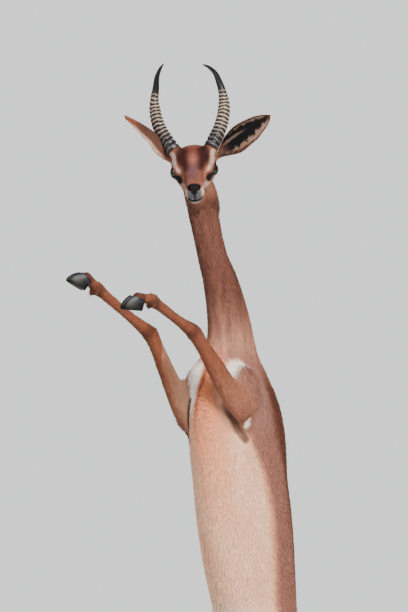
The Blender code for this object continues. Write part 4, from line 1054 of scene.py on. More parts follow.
LIE = [("head", out_of_head(np.array([a]))[0], out_of_head(np.array([b]))[0]) for a, b in (
    ((0, -0.135, 0.004), (0, -0.060, 0.010)),
    ((0, -0.060, 0.010), (0, 0.020, 0.006)),
    ((0, 0.020, 0.006), (0, 0.085, -0.010)),
)]
neck_rows = [np.array((0, row[0], row[1])) for row in NECK[::-1]]
LIE += [("neck", a, b) for a, b in zip(neck_rows, neck_rows[1:])]
trunk_rows = [np.array((0, row[1], row[0])) for row in TRUNK[::-1]]
LIE += [("trunk", a, b) for a, b in zip(trunk_rows[1:-1], trunk_rows[2:])]
for word, leg, names in (
    ("foreleg_left", LEFT_FORE, ("shoulder", "elbow", "carpus", "fetlock", "coronet")),
    ("foreleg_right", RIGHT_FORE, ("shoulder", "elbow", "carpus", "fetlock", "coronet")),
    ("hindleg_left", LEFT_HIND, ("hip", "knee", "hock", "fetlock", "coronet")),
    ("hindleg_right", RIGHT_HIND, ("hip", "knee", "hock", "fetlock", "coronet")),
):
    LIE += [(word, np.array(leg[a]), np.array(leg[b])) for a, b in zip(names, names[1:])]
LIE += [("tail", np.array(a[:3]), np.array(b[:3])) for a, b in zip(TAIL, TAIL[1:])]


def lie_of(points):
    """The way the hair runs at each point, the nearest length of body, and how far along it the point is."""
    nearest = np.full(len(points), 9.0)
    which = np.zeros(len(points), int)
    along = np.zeros(len(points))
    flow = np.zeros_like(points)
    for k, (_, start, end) in enumerate(LIE):
        way = end - start
        t = np.clip((points - start) @ way / (way @ way), 0, 1)
        far = np.linalg.norm(points - start - t[:, None] * way, axis=1)
        flow += unit(way) * (1 / (far + 0.006) ** 5)[:, None]
        closer = far < nearest
        nearest[closer], which[closer], along[closer] = far[closer], k, t[closer]
    return unit(flow), which, along


def keep_vectors(made, name, vectors):
    """Keeps a vector for each point of a mesh."""
    layer = made.data.attributes.new(name, "FLOAT_VECTOR", "POINT")
    layer.data.foreach_set("vector", vectors.ravel())


def comb(made):
    """Keeps places that are squeezed along the lie, so that a pattern in the material runs with the hair."""
    points = points_of(made.data)
    flow = lie_of(points)[0]
    squeezed = points - 0.86 * flow * (points * flow).sum(axis=1)[:, None]
    keep_vectors(made, "comb", squeezed)


comb(skin)


def nodes_of(name, roughness, **constants):
    made = bpy.data.materials.new(name)
    made.use_nodes = True
    tree = made.node_tree
    surface = tree.nodes["Principled BSDF"]
    surface.inputs["Roughness"].default_value = roughness
    for socket, value in constants.items():
        surface.inputs[socket.replace("_", " ")].default_value = value
    return made, tree, surface


def node(tree, kind, **settings):
    made = tree.nodes.new(kind)
    for key, value in settings.items():
        if key in made.inputs:
            made.inputs[key].default_value = value
        else:
            setattr(made, key, value)
    return made


def shade_by(tree, surface, pattern, seen, shown):
    """Colours a surface as it is painted, made darker and lighter as a pattern's values run over a range."""
    tint = node(tree, "ShaderNodeAttribute", attribute_name="coat")
    shade = node(tree, "ShaderNodeMapRange")
    for socket, value in zip(("From Min", "From Max", "To Min", "To Max"), (*seen, *shown)):
        shade.inputs[socket].default_value = value
    scaled = node(tree, "ShaderNodeVectorMath", operation="SCALE")
    tree.links.new(pattern, shade.inputs["Value"])
    tree.links.new(tint.outputs["Color"], scaled.inputs[0])
    tree.links.new(shade.outputs["Result"], scaled.inputs["Scale"])
    tree.links.new(scaled.outputs["Vector"], surface.inputs["Base Color"])


def emboss(tree, surface, pattern, strength, distance):
    """Gives a surface a fine relief that follows a pattern."""
    relief = node(tree, "ShaderNodeBump", Strength=strength, Distance=distance)
    tree.links.new(pattern, relief.inputs["Height"])
    tree.links.new(relief.outputs["Normal"], surface.inputs["Normal"])


# Short hair: the painted markings, streaked along the lie, with the same streaks as a fine relief
COAT_STREAK = 0.30
coat_look, tree, surface = nodes_of("coat", 0.72, Sheen_Weight=0.03, Specular_IOR_Level=0.16)
lie = node(tree, "ShaderNodeAttribute", attribute_name="comb")
fine = node(tree, "ShaderNodeTexNoise", Scale=520.0, Detail=3.0, Roughness=0.6)
broad = node(tree, "ShaderNodeTexNoise", Scale=110.0, Detail=3.0, Roughness=0.6)
both = node(tree, "ShaderNodeMath", operation="MULTIPLY_ADD")
both.inputs[1].default_value = 0.6
tree.links.new(lie.outputs["Vector"], fine.inputs["Vector"])
tree.links.new(lie.outputs["Vector"], broad.inputs["Vector"])
tree.links.new(fine.outputs["Fac"], both.inputs[0])
tree.links.new(broad.outputs["Fac"], both.inputs[2])
shade_by(tree, surface, both.outputs["Value"], (0.55, 1.05), (1 - COAT_STREAK, 1 + 0.5 * COAT_STREAK))
emboss(tree, surface, both.outputs["Value"], 0.55, 0.0012)
skin.data.materials.clear()
skin.data.materials.append(coat_look)
PARTS = ("head", "neck", "torso", "tail", "foreleg", "hindleg")
FLESH = [name for name in frame["nodes"] if name.split("_")[0] in PARTS and name != "tail_tuft"]
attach(skin, "root")
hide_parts(*FLESH)

# The eyes: large and dark, with a level pupil behind a
# clear, wet bulge, each turned out and a little forward.

# How far out from the middle of the pupil each tone of the eye lies
IRIS = (
    (0.34, (0.0015, 0.0012, 0.0015)),
    (0.44, (0.018, 0.008, 0.004)),
    (0.78, (0.012, 0.006, 0.004)),
)

eye_look, tree, surface = nodes_of(
    "eye_ball", 0.12, Coat_Weight=0.6, Coat_Roughness=0.02, Specular_IOR_Level=0.15
)
place = node(tree, "ShaderNodeAttribute", attribute_name="gaze")
split = node(tree, "ShaderNodeSeparateXYZ")
tree.links.new(place.outputs["Vector"], split.inputs["Vector"])
iris = node(tree, "ShaderNodeValToRGB")
iris.color_ramp.elements[0].color = (0.001, 0.001, 0.002, 1)
iris.color_ramp.elements[1].color = (0.004, 0.003, 0.003, 1)
for share, light in IRIS:
    iris.color_ramp.elements.new(share).color = (*light, 1)
tree.links.new(split.outputs["X"], iris.inputs["Fac"])
tree.links.new(iris.outputs["Color"], surface.inputs["Base Color"])

for word, side in (("left", 1), ("right", -1)):
    gaze, corner, lift = eye_axes(side)
    axes = np.column_stack([corner, lift, gaze])
    points, faces = ellipsoid((0, 0, 0), (1, 1, 1), axes, rings=40, sides=56)
    seen = points @ axes
    bulge = 1 + 0.05 * np.exp(-((np.hypot(seen[:, 0], seen[:, 1]) / 0.62) ** 4)) * (seen[:, 2] > 0)
    centre = np.array(EYE_AT) * (side, 1, 1)
    ball = out_of_head(points * bulge[:, None] * EYE_RADIUS + centre)
    eye = new_mesh_object(f"eyeball_{word}", ball, faces)
    reach = np.hypot(seen[:, 0] * 0.8, seen[:, 1] * 1.3) + (seen[:, 2] < 0) * 2
    keep_vectors(eye, "gaze", np.column_stack([np.clip(reach, 0, 1)] * 3))
    eye.data.materials.append(eye_look)
    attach(eye, "root")
    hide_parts(f"eye_{word}")

# The horns: a sheath of ringed horn, thick at the foot and
# swept back, then curling up and in to a smooth black tip.

HORN_LINE = (
    (0.0435, 0.0335, 0.0445, 0.0174),
    (0.0500, 0.0405, 0.0535, 0.0172),
    (0.0620, 0.0570, 0.0690, 0.0166),
    (0.0730, 0.0790, 0.0865, 0.0158),
    (0.0800, 0.1010, 0.1050, 0.0150),
    (0.0825, 0.1200, 0.1235, 0.0134),
    (0.0815, 0.1320, 0.1420, 0.0106),
    (0.0760, 0.1385, 0.1665, 0.0085),
    (0.0680, 0.1345, 0.1940, 0.0062),
    (0.0550, 0.1230, 0.2140, 0.0040),
    (0.0420, 0.1090, 0.2270, 0.0012),
)
RIGHT_TIP = (
    (0.0700, 0.1310, 0.1975, 0.0062),
    (0.0605, 0.1180, 0.2215, 0.0040),
    (0.0500, 0.1020, 0.2400, 0.0012),
)
HORN_RINGS = 15
RINGED = 0.63
RING_RISE = 0.0016
HORN_SIDES = 56

horn_look, tree, surface = nodes_of("horn_sheath", 0.42, Specular_IOR_Level=0.4)
grain = node(tree, "ShaderNodeAttribute", attribute_name="comb")
fibre = node(tree, "ShaderNodeTexNoise", Scale=420.0, Detail=4.0, Roughness=0.65)
tree.links.new(grain.outputs["Vector"], fibre.inputs["Vector"])
shade_by(tree, surface, fibre.outputs["Fac"], (0.3, 0.7), (0.62, 1.2))
emboss(tree, surface, fibre.outputs["Fac"], 0.5, 0.0006)


def horn(word, side):
    places = HORN_LINE if side > 0 else HORN_LINE[: -len(RIGHT_TIP)] + RIGHT_TIP
    fine = smooth_rows([(side * x, y, z, r, r, r) for x, y, z, r in places], 0.0009)
    at = np.concatenate([[0], np.cumsum(np.linalg.norm(np.diff(fine[:, :3], axis=0), axis=1))])
    ringed = at[-1] * RINGED
    share = np.clip(at / ringed, 0, 1) ** (1 / 0.94) * HORN_RINGS
    fade = np.where(at < ringed, 1 - 0.45 * (at / ringed) ** 3, 0) * (1 - ramp(at, ringed * 0.97, ringed))
    rows = fine.copy()
    rows[:, 3] *= 0.94
    rows[:, 4] *= 1.06
    points, faces = loft(rows, (side, 0, 0), step=None, sides=HORN_SIDES, domes=(0, 0.8))
    rings = len(rows) + 3
    pick = np.append(np.repeat(np.minimum(np.arange(rings), len(rows) - 1), HORN_SIDES), [0, len(rows) - 1])
    middle = fine[pick, :3]
    out = points - middle
    far = np.maximum(np.linalg.norm(out, axis=1), 1e-6)
    round_horn = np.tile(np.arange(HORN_SIDES) * 2 * pi / HORN_SIDES, rings)
    round_horn = np.append(round_horn, [0, 0])
    front = 0.75 + 0.25 * np.cos(round_horn - pi / 2)
    slow = share[pick]
    waves = 0.10 * np.sin(2 * round_horn + slow * 0.9) + 0.06 * np.sin(5 * round_horn + slow * 1.7)
    cycle = slow + waves
    cycle = cycle - np.floor(cycle)
    crest = np.where(cycle < 0.56, ramp(cycle, 0.10, 0.50), 1 - ramp(cycle, 0.62, 0.94))
    wobble = 0.12 * np.sin(3 * round_horn + pick * 0.02) + 0.08 * np.sin(7 * round_horn + pick * 0.05)
    rise = RING_RISE * fade[pick] * ((crest * 1.5 - 0.5) * front + wobble * 0.5)
    rise[-2:] = 0
    points = points + out / far[:, None] * rise[:, None]
    made = new_mesh_object(f"horn_sheath_{word}", placed((points, faces), HEAD_FRAME)[0], faces)
    ridged = fade[pick] > 0.02
    # The crests are painted pale as worn horn, and the furrows near black, which is partly painted shade in
    # them.
    furrow, tip = tone(26, 24, 32), tone(18, 20, 30)
    climb = (at[pick] / ringed)[:, None]
    beige = tone(112, 106, 110) + (tone(196, 180, 166) - tone(112, 106, 110)) * ramp(climb, 0.12, 0.42)
    crest_wear_and_furrow_shade = np.where(ridged, crest ** 1.3 * (0.60 + 0.40 * front), 0)
    colours = over(np.tile(furrow, (len(points), 1)), beige, crest_wear_and_furrow_shade)
    upper = ramp(at[pick] / ringed, 0.86, 1.14)
    colours = over(colours, tip, upper)
    # Painted sheen: the front of the black tip is painted a lighter blue-grey.
    colours = over(colours, tone(70, 72, 82), upper * 0.5 * ramp(np.cos(round_horn - pi / 2), 0.2, 0.9))
    paint(made, "coat", colours)
    girth = np.column_stack([np.cos(round_horn) * 0.014, np.sin(round_horn) * 0.014, at[pick] * 0.16])
    keep_vectors(made, "comb", girth)
    made.data.materials.append(horn_look)
    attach(made, "root")
    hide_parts(f"horn_{word}")


horn("left", 1)
horn("right", -1)


# The ears: thin leaf-shaped cups of skin, brown behind, dark inside with lines of pale hair.
# The left one is turned to the front and open to the camera, the right one faces down and out.

EAR_ROWS = (
    (-0.09, 0.0115, 170),
    (0.06, 0.0130, 150),
    (0.18, 0.0190, 116),
    (0.32, 0.0270, 88),
    (0.47, 0.0335, 66),
    (0.62, 0.0345, 57),
    (0.76, 0.0310, 49),
    (0.88, 0.0235, 43),
    (0.96, 0.0135, 39),
    (1.00, 0.0040, 38),
)
EARS = {
    1: ((0.188, 0.050, 0.098), 82),
    -1: ((-0.160, 0.050, 0.127), 0),
}
EAR_ROOT = (0.050, 0.062, 0.014)
EAR_STEPS = 49
EAR_THICK = 0.0026


def ear_sheet(side):
    """The middle of the cup in the head's frame, its outward normals, and its places along and across."""
    tip, turn = EARS[side]
    root = np.array(EAR_ROOT) * (side, 1, 1)
    along = np.array(tip) - root
    length = np.linalg.norm(along)
    along = along / length
    forward = unit(np.array((0, -1, 0)) - along * (along @ np.array((0, -1, 0))))
    lowered = unit(np.cross(along, forward)) * side
    lowered = lowered if lowered[2] < 0 else -lowered
    opening = lowered * cos(radians(turn)) + forward * sin(radians(turn))
    across = np.cross(along, opening)
    rows = [(share, 0, 0, radius, spread / 1000, 0) for share, radius, spread in EAR_ROWS]
    rows = smooth_rows(rows, 0.011)
    share, radius, spread = rows[:, 0], rows[:, 3], np.radians(rows[:, 4] * 1000)
    q = np.linspace(-1, 1, EAR_STEPS)
    bend = 0.010 * np.sin(pi * np.clip(share, 0, 1))
    spine = root + along * (length * share)[:, None] - opening * (0.0125 + bend)[:, None]
    angle = spread[:, None] * q
    deep = radius[:, None] * (1 - np.cos(angle))
    wide = radius[:, None] * np.sin(angle)
    roll = 0.0016 * ramp(np.abs(q), 0.80, 1.0)[None] * ramp(share, 0.15, 0.35)[:, None]
    waves = 0.0007 * np.sin(share * 21)[:, None] * ramp(np.abs(q), 0.5, 1.0)
    points = spine[:, None] + opening * (deep + waves)[..., None] + across * wide[..., None]
    normals = -opening * np.cos(angle)[..., None] + across * np.sin(angle)[..., None]
    share, q = np.repeat(share[:, None], EAR_STEPS, 1), np.repeat(q[None], len(share), 0)
    return points + normals * roll[..., None], normals, share, q


def ear_tones(share, q, inner):
    """The back is brown with a dark edge at the tip. Inside, a black hollow shows between pale hair."""
    back = over(np.tile(tone(116, 88, 78), (len(share), 1)), tone(160, 108, 80), ramp(share, 0.70, 0.95))
    back = over(back, tone(206, 180, 164), 0.8 * ramp(np.abs(q), 0.72, 0.92) * (1 - ramp(share, 0.80, 0.95)))
    back = over(back, tone(176, 138, 116), 0.7 * (1 - ramp(share, 0.02, 0.22)))
    front = np.tile(tone(16, 15, 24), (len(share), 1))
    jag = 0.10 * np.sin(share * 46 + q * 2) + 0.07 * np.sin(share * 83 + 1.3)
    low = ramp(np.abs(q) + jag, 0.50 - 0.30 * ramp(share, 0.55, 0.95), 0.72)
    front = over(front, tone(146, 122, 112), low)
    tongue = 1 - ramp(np.abs(q + 0.10) / (0.13 * (1 - 0.8 * share) + 0.01) + 1.5 * jag, 0.6, 1.4)
    front = over(front, tone(150, 130, 122), 0.8 * tongue * (1 - ramp(share, 0.42, 0.62)))
    streaks = 0.5 + 0.5 * np.sin(q * 40 + share * 5)
    front = over(front, tone(206, 190, 178), 0.36 * low * streaks)
    front = over(front, tone(122, 96, 88), 1 - ramp(share, 0.06, 0.26))
    front = over(front, tone(112, 76, 62), ramp(np.abs(q), 0.90, 0.97))
    front = over(front, tone(104, 68, 56), ramp(share, 0.90, 0.97))
    return np.where(inner[:, None], front, back)


def ear(word, side):
    sheet, normals, share, q = ear_sheet(side)
    rows, steps = share.shape
    half = EAR_THICK / 2 * (1 - 0.62 * ramp(np.abs(q), 0.55, 1.0)) * (1 - 0.5 * ramp(share, 0.85, 1.0))
    outer, inner = sheet + normals * half[..., None], sheet - normals * half[..., None]
    points = np.concatenate([outer.reshape(-1, 3), inner.reshape(-1, 3)])
    count = rows * steps
    faces = []
    for r in range(rows - 1):
        for k in range(steps - 1):
            a = r * steps + k
            faces.append((a, a + 1, a + 1 + steps, a + steps))
            faces.append((count + a, count + a + steps, count + a + steps + 1, count + a + 1))
    border = [r * steps for r in range(rows)] + [(rows - 1) * steps + k for k in range(1, steps)]
    border += [r * steps + steps - 1 for r in range(rows - 2, -1, -1)] + list(range(steps - 2, 0, -1))
    for a, b in zip(border, border[1:] + border[:1]):
        faces.append((a, b, b + count, a + count))
    points, faces = facing_out(points, faces)
    made = new_mesh_object(f"ear_cup_{word}", out_of_head(points), faces)
    inside = np.repeat([False, True], count)
    share, q = np.tile(share.ravel(), 2), np.tile(q.ravel(), 2)
    paint(made, "coat", ear_tones(share, q, inside))
    keep_vectors(made, "comb", np.column_stack([q * 0.035, inside * 0.05, share * 0.022]))
    made.data.materials.append(coat_look)
    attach(made, "root")
    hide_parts(f"ear_{word}")


ear("left", 1)
ear("right", -1)

# The hooves: two narrow, pointed claws on each foot, of
# polished black horn with fine growth lines round them.

HEEL_REACH = 0.0155
HEEL_SOLE = 0.66
CLAW_WIDTH = 0.0180
HOOF_HEIGHT = 0.030
CORONET_RISE = 0.38
CLAW_LEVELS = (
    (0, 0.0335, 0.90),
    (0.04, 0.0354, 0.95),
    (0.12, 0.0366, 0.99),
    (0.30, 0.0343, 0.990),
    (0.50, 0.0302, 0.970),
    (0.70, 0.0245, 0.945),
    (0.88, 0.0188, 0.920),
    (0.96, 0.0162, 0.910),
    (1.00, 0.0147, 0.880),
)
CLAW_SIDES = 56


def foot_frame(leg):
    turn = Matrix.Rotation(radians(leg["yaw"]), 3, "Z") @ Matrix.Rotation(radians(-leg["pitch"]), 3, "X")
    toe, up = turn @ Vector((0, -1, 0)), turn @ Vector((0, 0, 1))
    if leg["pitch"]:
        sole = Vector(leg["coronet"]) - up * HOOF_HEIGHT
    else:
        sole = Vector((leg["coronet"][0], leg["coronet"][1], GROUND))
    foot = Matrix((toe.cross(up), toe, up)).transposed().to_4x4()
    foot.translation = sole
    return foot


hoof_look, tree, surface = nodes_of(
    "hoof_horn", 0.46, Coat_Weight=0.02, Coat_Roughness=0.2, Specular_IOR_Level=0.22
)
tint = node(tree, "ShaderNodeAttribute", attribute_name="coat")
level_of = node(tree, "ShaderNodeAttribute", attribute_name="comb")
growth = node(tree, "ShaderNodeTexNoise", Scale=90.0, Detail=4.0, Roughness=0.6)
tree.links.new(level_of.outputs["Vector"], growth.inputs["Vector"])
tree.links.new(tint.outputs["Color"], surface.inputs["Base Color"])
emboss(tree, surface, growth.outputs["Fac"], 0.35, 0.0005)


def claw(name, leg, side):
    foot = foot_frame(leg)
    high = (foot.inverted() @ Vector(leg["coronet"])).z - GAP
    angle = np.arange(CLAW_SIDES) * 2 * pi / CLAW_SIDES
    c, s = np.cos(angle), np.sin(angle)
    points = []
    for level, reach, width in CLAW_LEVELS:
        y = s * np.where(s > 0, reach, HEEL_REACH * (HEEL_SOLE + (1 - HEEL_SOLE) * level))
        inward = c < 0
        x = np.abs(c) ** np.where(inward, 0.5, 0.85) * np.where(inward, -1, 1)
        x = x * (1 - 0.5 * np.maximum(s, 0) ** 2)
        x = CLAW_WIDTH / 2 * (1 + x * width) + 0.0008 + 0.06 * np.maximum(y, 0)
        points.append(np.column_stack([side * x, y, level * (high + CORONET_RISE * y)]))
    points = np.concatenate(points)
    tips = [points[:CLAW_SIDES].mean(axis=0), points[-CLAW_SIDES:].mean(axis=0)]
    shape = placed(tube(points, tips, len(CLAW_LEVELS), CLAW_SIDES), foot)
    made = new_mesh_object(name, *shape)
    level = np.append(np.repeat([row[0] for row in CLAW_LEVELS], CLAW_SIDES), [0, 1])
    colours = np.tile(tone(28, 24, 27), (len(level), 1))
    # Painted reflection: a lighter blue-grey band round the claw's wall stands in for its sheen.
    colours = over(colours, tone(80, 84, 100), 0.6 * ramp(level, 0.50, 0.80))
    colours = over(colours, tone(40, 32, 34), ramp(level, 0.86, 0.98))
    colours = over(colours, tone(60, 52, 48), 1 - ramp(level, 0.0, 0.05))
    paint(made, "coat", colours)
    around = np.append(np.tile(angle, len(CLAW_LEVELS)), [0, 0])
    bands = np.column_stack([np.cos(around) * 0.012, np.sin(around) * 0.012, level * 0.42])
    keep_vectors(made, "comb", bands)
    made.data.materials.append(hoof_look)
    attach(made, "root")
    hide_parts(name.replace("claw", "hoof"))


FEET = {"left_fore": LEFT_FORE, "right_fore": RIGHT_FORE, "left_hind": LEFT_HIND, "right_hind": RIGHT_HIND}
for words, leg in FEET.items():
    outside = 1 if "left" in words else -1
    claw(f"claw_{words}_outer", leg, outside)
    claw(f"claw_{words}_inner", leg, -outside)

# The tail's tuft: long black hair in flat, tapered locks, which stand
# out a little from a narrow core that hangs below the end of the tail.

TUFT_LENGTH = 0.120
TUFT_LOCKS = 130

tuft_look, tree, surface = nodes_of("tuft_hair", 0.5, Sheen_Weight=0.1)
surface.inputs["Base Color"].default_value = (*tone(26, 22, 22), 1)

chance = np.random.default_rng(7)
top = np.array(TAIL[-1][:3]) - (0, 0, GAP)
end = top - (0, 0.016, TUFT_LENGTH * 0.62)
core = [(*(top + (end - top) * t), w, w, w) for t, w in ((0, 0.0070), (0.4, 0.0085), (1, 0.0030))]
shapes = [loft(core, (1, 0, 0), sides=20, domes=(0.6, 0.8), step=0.008)]
for lock in range(TUFT_LOCKS):
    angle = 2 * pi * lock * 0.382
    out = np.array((cos(angle), sin(angle), 0))
    share = 0.02 + 0.75 * lock / TUFT_LOCKS
    root = top + (end - top) * share + out * (0.006 * (1 - 0.5 * share))
    length = TUFT_LENGTH * (0.50 + 0.24 * chance.random())
    spread = 0.004 + 0.007 * chance.random()
    sway = 0.006 * chance.normal(size=3) * (1, 1, 0)
    rows = []
    for t, width in ((0, 0.0014), (0.25, 0.0019), (0.5, 0.0017), (0.75, 0.0011), (1, 0.0003)):
        place = root + out * spread * sin(pi * t * 0.7) + sway * t * t + (0, -0.012 * t * t, -length * t)
        rows.append((*place, width, width * 0.5, width * 0.5))
    shapes.append(loft(rows, np.cross(out, (0, 0, 1)), step=None, sides=6, domes=(0, 0)))
tuft = new_mesh_object("tuft_hair", *joined(shapes))
tuft.data.materials.append(tuft_look)
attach(tuft, "root")
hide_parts("tail_tuft")


# The coat: short tufts of hair, each a thin closed wedge that is sunk in the
# skin, lies along the coat and lifts a little at its tip, so that it breaks
# the outline on every side. They are joined into one mesh for each region.

hair_look, tree, surface = nodes_of("coat_hair", 0.66, Sheen_Weight=0.03, Specular_IOR_Level=0.16)
place = node(tree, "ShaderNodeTexCoord")
uneven = node(tree, "ShaderNodeTexNoise", Scale=240.0, Detail=2.0)
tree.links.new(place.outputs["Object"], uneven.inputs["Vector"])
shade_by(tree, surface, uneven.outputs["Fac"], (0.0, 1.0), (0.80, 1.20))

# The regions of the coat, each with one cell of the map
ATLAS = (
    "head", "neck", "trunk",
    "foreleg_left", "foreleg_right", "hindleg_left",
    "hindleg_right", "tail", "ear",
)
ATLAS_CELL = 1 / 3
PATCH = 0.003  # the size of one tuft on the map
SUNK = 0.0008
TUFT_FACES = np.array((
    (4, 1, 0), (3, 4, 0), (5, 2, 1), (4, 5, 1), (3, 0, 2),
    (5, 3, 2), (6, 4, 3), (6, 5, 4), (6, 3, 5), (1, 2, 0),
))


def tufts(name, roots, ways, normals, lengths, widths, lifts, colours, chart):
    """One mesh of wedges: each is a ring of three points in the skin, one of three halfway, and a tip."""
    count = len(roots)
    sides = unit(np.cross(ways, normals))
    half = (widths / 2)[:, None]
    foot = roots - normals * SUNK
    middle = roots + ways * (lengths * 0.48)[:, None] + normals * (lifts * 0.62)[:, None]
    tip = roots + ways * lengths[:, None] + normals * lifts[:, None]
    body = np.stack([
        foot - sides * half * 0.8, foot + sides * half * 0.8, foot + normals * half * 0.9,
        middle - sides * half, middle + sides * half, middle + normals * half * 0.7, tip,
    ], axis=1)
    faces = (TUFT_FACES[None] + np.arange(count)[:, None, None] * 7).reshape(-1)
    mesh = bpy.data.meshes.new(name)
    mesh.vertices.add(count * 7)
    mesh.vertices.foreach_set("co", body.ravel())
    mesh.loops.add(len(faces))
    mesh.loops.foreach_set("vertex_index", faces)
    mesh.polygons.add(len(faces) // 3)
    mesh.polygons.foreach_set("loop_start", np.arange(0, len(faces), 3))
    mesh.polygons.foreach_set("use_smooth", [True] * (len(faces) // 3))
    mesh.update(calc_edges=True)
    made = bpy.data.objects.new(name, mesh)
    bpy.context.scene.collection.objects.link(made)
    # Painted shade and light: each tuft is painted darker at its sunk root and lighter towards its tip.
    shaded = colours[:, None] * np.array((0.84, 0.84, 0.88, 1.0, 1.0, 1.03, 1.10))[None, :, None]
    paint(made, "coat", np.clip(shaded.reshape(-1, 3), 0, 1))
    across = np.array((-0.4, 0.4, 0.0, -0.5, 0.5, 0.0, 0.0)) * PATCH
    ahead = np.array((0.0, 0.0, 0.05, 0.5, 0.5, 0.55, 1.0)) * PATCH
    patch = chart[:, None] + np.column_stack([across, ahead])[None]
    layer = mesh.uv_layers.new(name="OFBake")
    layer.uv.foreach_set("vector", patch.reshape(-1, 2)[faces].ravel())
    rounded = normals[:, None] + sides[:, None] * np.array((-0.5, 0.5, 0, -0.5, 0.5, 0, 0))[None, :, None]
    mesh.normals_split_custom_set_from_vertices(unit(rounded).reshape(-1, 3))
    made.data.materials.append(hair_look)
    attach(made, "root")
    return made


def chart_of(points, which, along):
    """Each place unrolled round the length of body that it belongs to, in that region's cell of the map."""
    starts = np.array([start for _, start, _ in LIE])
    ways = np.array([unit(end - start) for _, start, end in LIE])
    lengths = np.array([np.linalg.norm(end - start) for _, start, end in LIE])
    words = [word for word, _, _ in LIE]
    before, total = np.zeros(len(LIE)), {}
    for k, word in enumerate(words):
        before[k] = total.get(word, 0)
        total[word] = before[k] + lengths[k]
    whole = np.array([total[word] for word in words])
    cell = np.array([ATLAS.index(word) for word in words])[which]
    away = points - starts[which]
    steep = np.abs(ways[:, 2:]) >= 0.9
    sideways = unit(np.cross(ways, np.where(steep, (0.05, 1.0, 0.0), (0.05, 0.15, 1.0))))
    other = np.cross(ways, sideways)
    angle = np.arctan2((away * sideways[which]).sum(axis=1), (away * other[which]).sum(axis=1))
    share = (before[which] + along * lengths[which]) / whole[which]
    inside = np.column_stack([0.03 + 0.94 * share, 0.03 + 0.94 * (angle / (2 * pi) + 0.5)])
    return (inside + np.column_stack([cell % 3, cell // 3])) * ATLAS_CELL


TRUNK_HAIR, BELLY_LONGER, NECK_SHORTER = 0.0135, 0.0040, 0.0015
LEG_HAIR, FACE_HAIR = 0.0070, 0.0040

chance = np.random.default_rng(21)
faces = skin.data.polygons
roots, outs, areas = np.empty(len(faces) * 3), np.empty(len(faces) * 3), np.empty(len(faces))
faces.foreach_get("center", roots)
faces.foreach_get("normal", outs)
faces.foreach_get("area", areas)
roots, outs = roots.reshape(-1, 3), outs.reshape(-1, 3)
local = in_head(roots)
face_share = head_share(local)
crowd = 64000 + 40000 * leg_share(roots) + 150000 * face_share  # tufts to a square metre
keep = chance.random(len(roots)) < areas * crowd
bare = (coat_depth(roots) < 0.0004) & (face_share > 0.5)
for side in (-1, 1):
    bare |= lid_reach(local, side)[0] < 1.50
bare |= (np.abs(local[:, 2] - mouth_height(local)) < 0.003) & (local[:, 1] < -0.084) & (face_share > 0.5)
bare |= spot(local, (0.0, -0.1340, 0.0090), (0.0185, 0.0150, 0.0120), 0.1) > 0.5
keep &= ~bare
for line in ARMPITS:
    keep &= stripe(roots, line, 0.0125, 0.5) < 0.3
for leg in (LEFT_FORE, RIGHT_FORE, LEFT_HIND, RIGHT_HIND):
    keep &= np.linalg.norm(roots - leg["coronet"], axis=1) > 0.019
roots, outs, local, face_share = roots[keep], outs[keep], local[keep], face_share[keep]
count = len(roots)
flow, which, along = lie_of(roots)
outs = unit(outs)
ways = flow + 0.16 * chance.normal(size=(count, 3))
ways = unit(ways - outs * (ways * outs).sum(axis=1)[:, None])
legs = leg_share(roots)
lengths = TRUNK_HAIR + BELLY_LONGER * ramp(-roots[:, 1], 0.0, 0.08) * (roots[:, 2] < 1.5)
lengths = lengths - NECK_SHORTER * ramp(roots[:, 2], 1.50, 1.60)
lengths = lengths + (LEG_HAIR - lengths) * legs
lengths = lengths + (FACE_HAIR - lengths) * face_share
for line in ARMPITS:
    lengths = lengths * (1 - 0.72 * stripe(roots, line, 0.024, 0.4))
lengths = lengths * (0.75 + 0.5 * chance.random(count))
widths = np.clip(lengths * 0.15, 0.0007, 0.0020) * (0.8 + 0.4 * chance.random(count))
lifts = coat_depth(roots) * (0.55 + 0.55 * chance.random(count)) + 0.0002
colours = coat_tones(roots) * (1 + 0.060 * chance.normal(size=count))[:, None]
chart = chart_of(roots, which, along)
LIMIT = 19500  # tufts in one mesh
region = np.array([ATLAS.index(word) for word, _, _ in LIE])[which]
for k, word in enumerate(ATLAS):
    mine = np.flatnonzero(region == k)
    mine = mine[np.argsort(roots[mine, 2])]
    for part, some in enumerate(np.array_split(mine, max(1, -(-len(mine) // LIMIT))) if len(mine) else ()):
        grown = (row[some] for row in (roots, ways, outs, lengths, widths, lifts, colours, chart))
        tufts(f"coat_{word}_{part}", *grown)

# The tufts were spread over the skin's fine mesh, and only
# now is it thinned, which keeps the small forms of the face.

SKIN_KEPT = 0.40  # the share of its triangles
thin = skin.modifiers.new("thin", "DECIMATE")
thin.ratio = SKIN_KEPT
baked(skin)

# The hair of the ears: a pale fringe along the rims, longer
# pale hair in lines inside the cup, short brown hair behind.

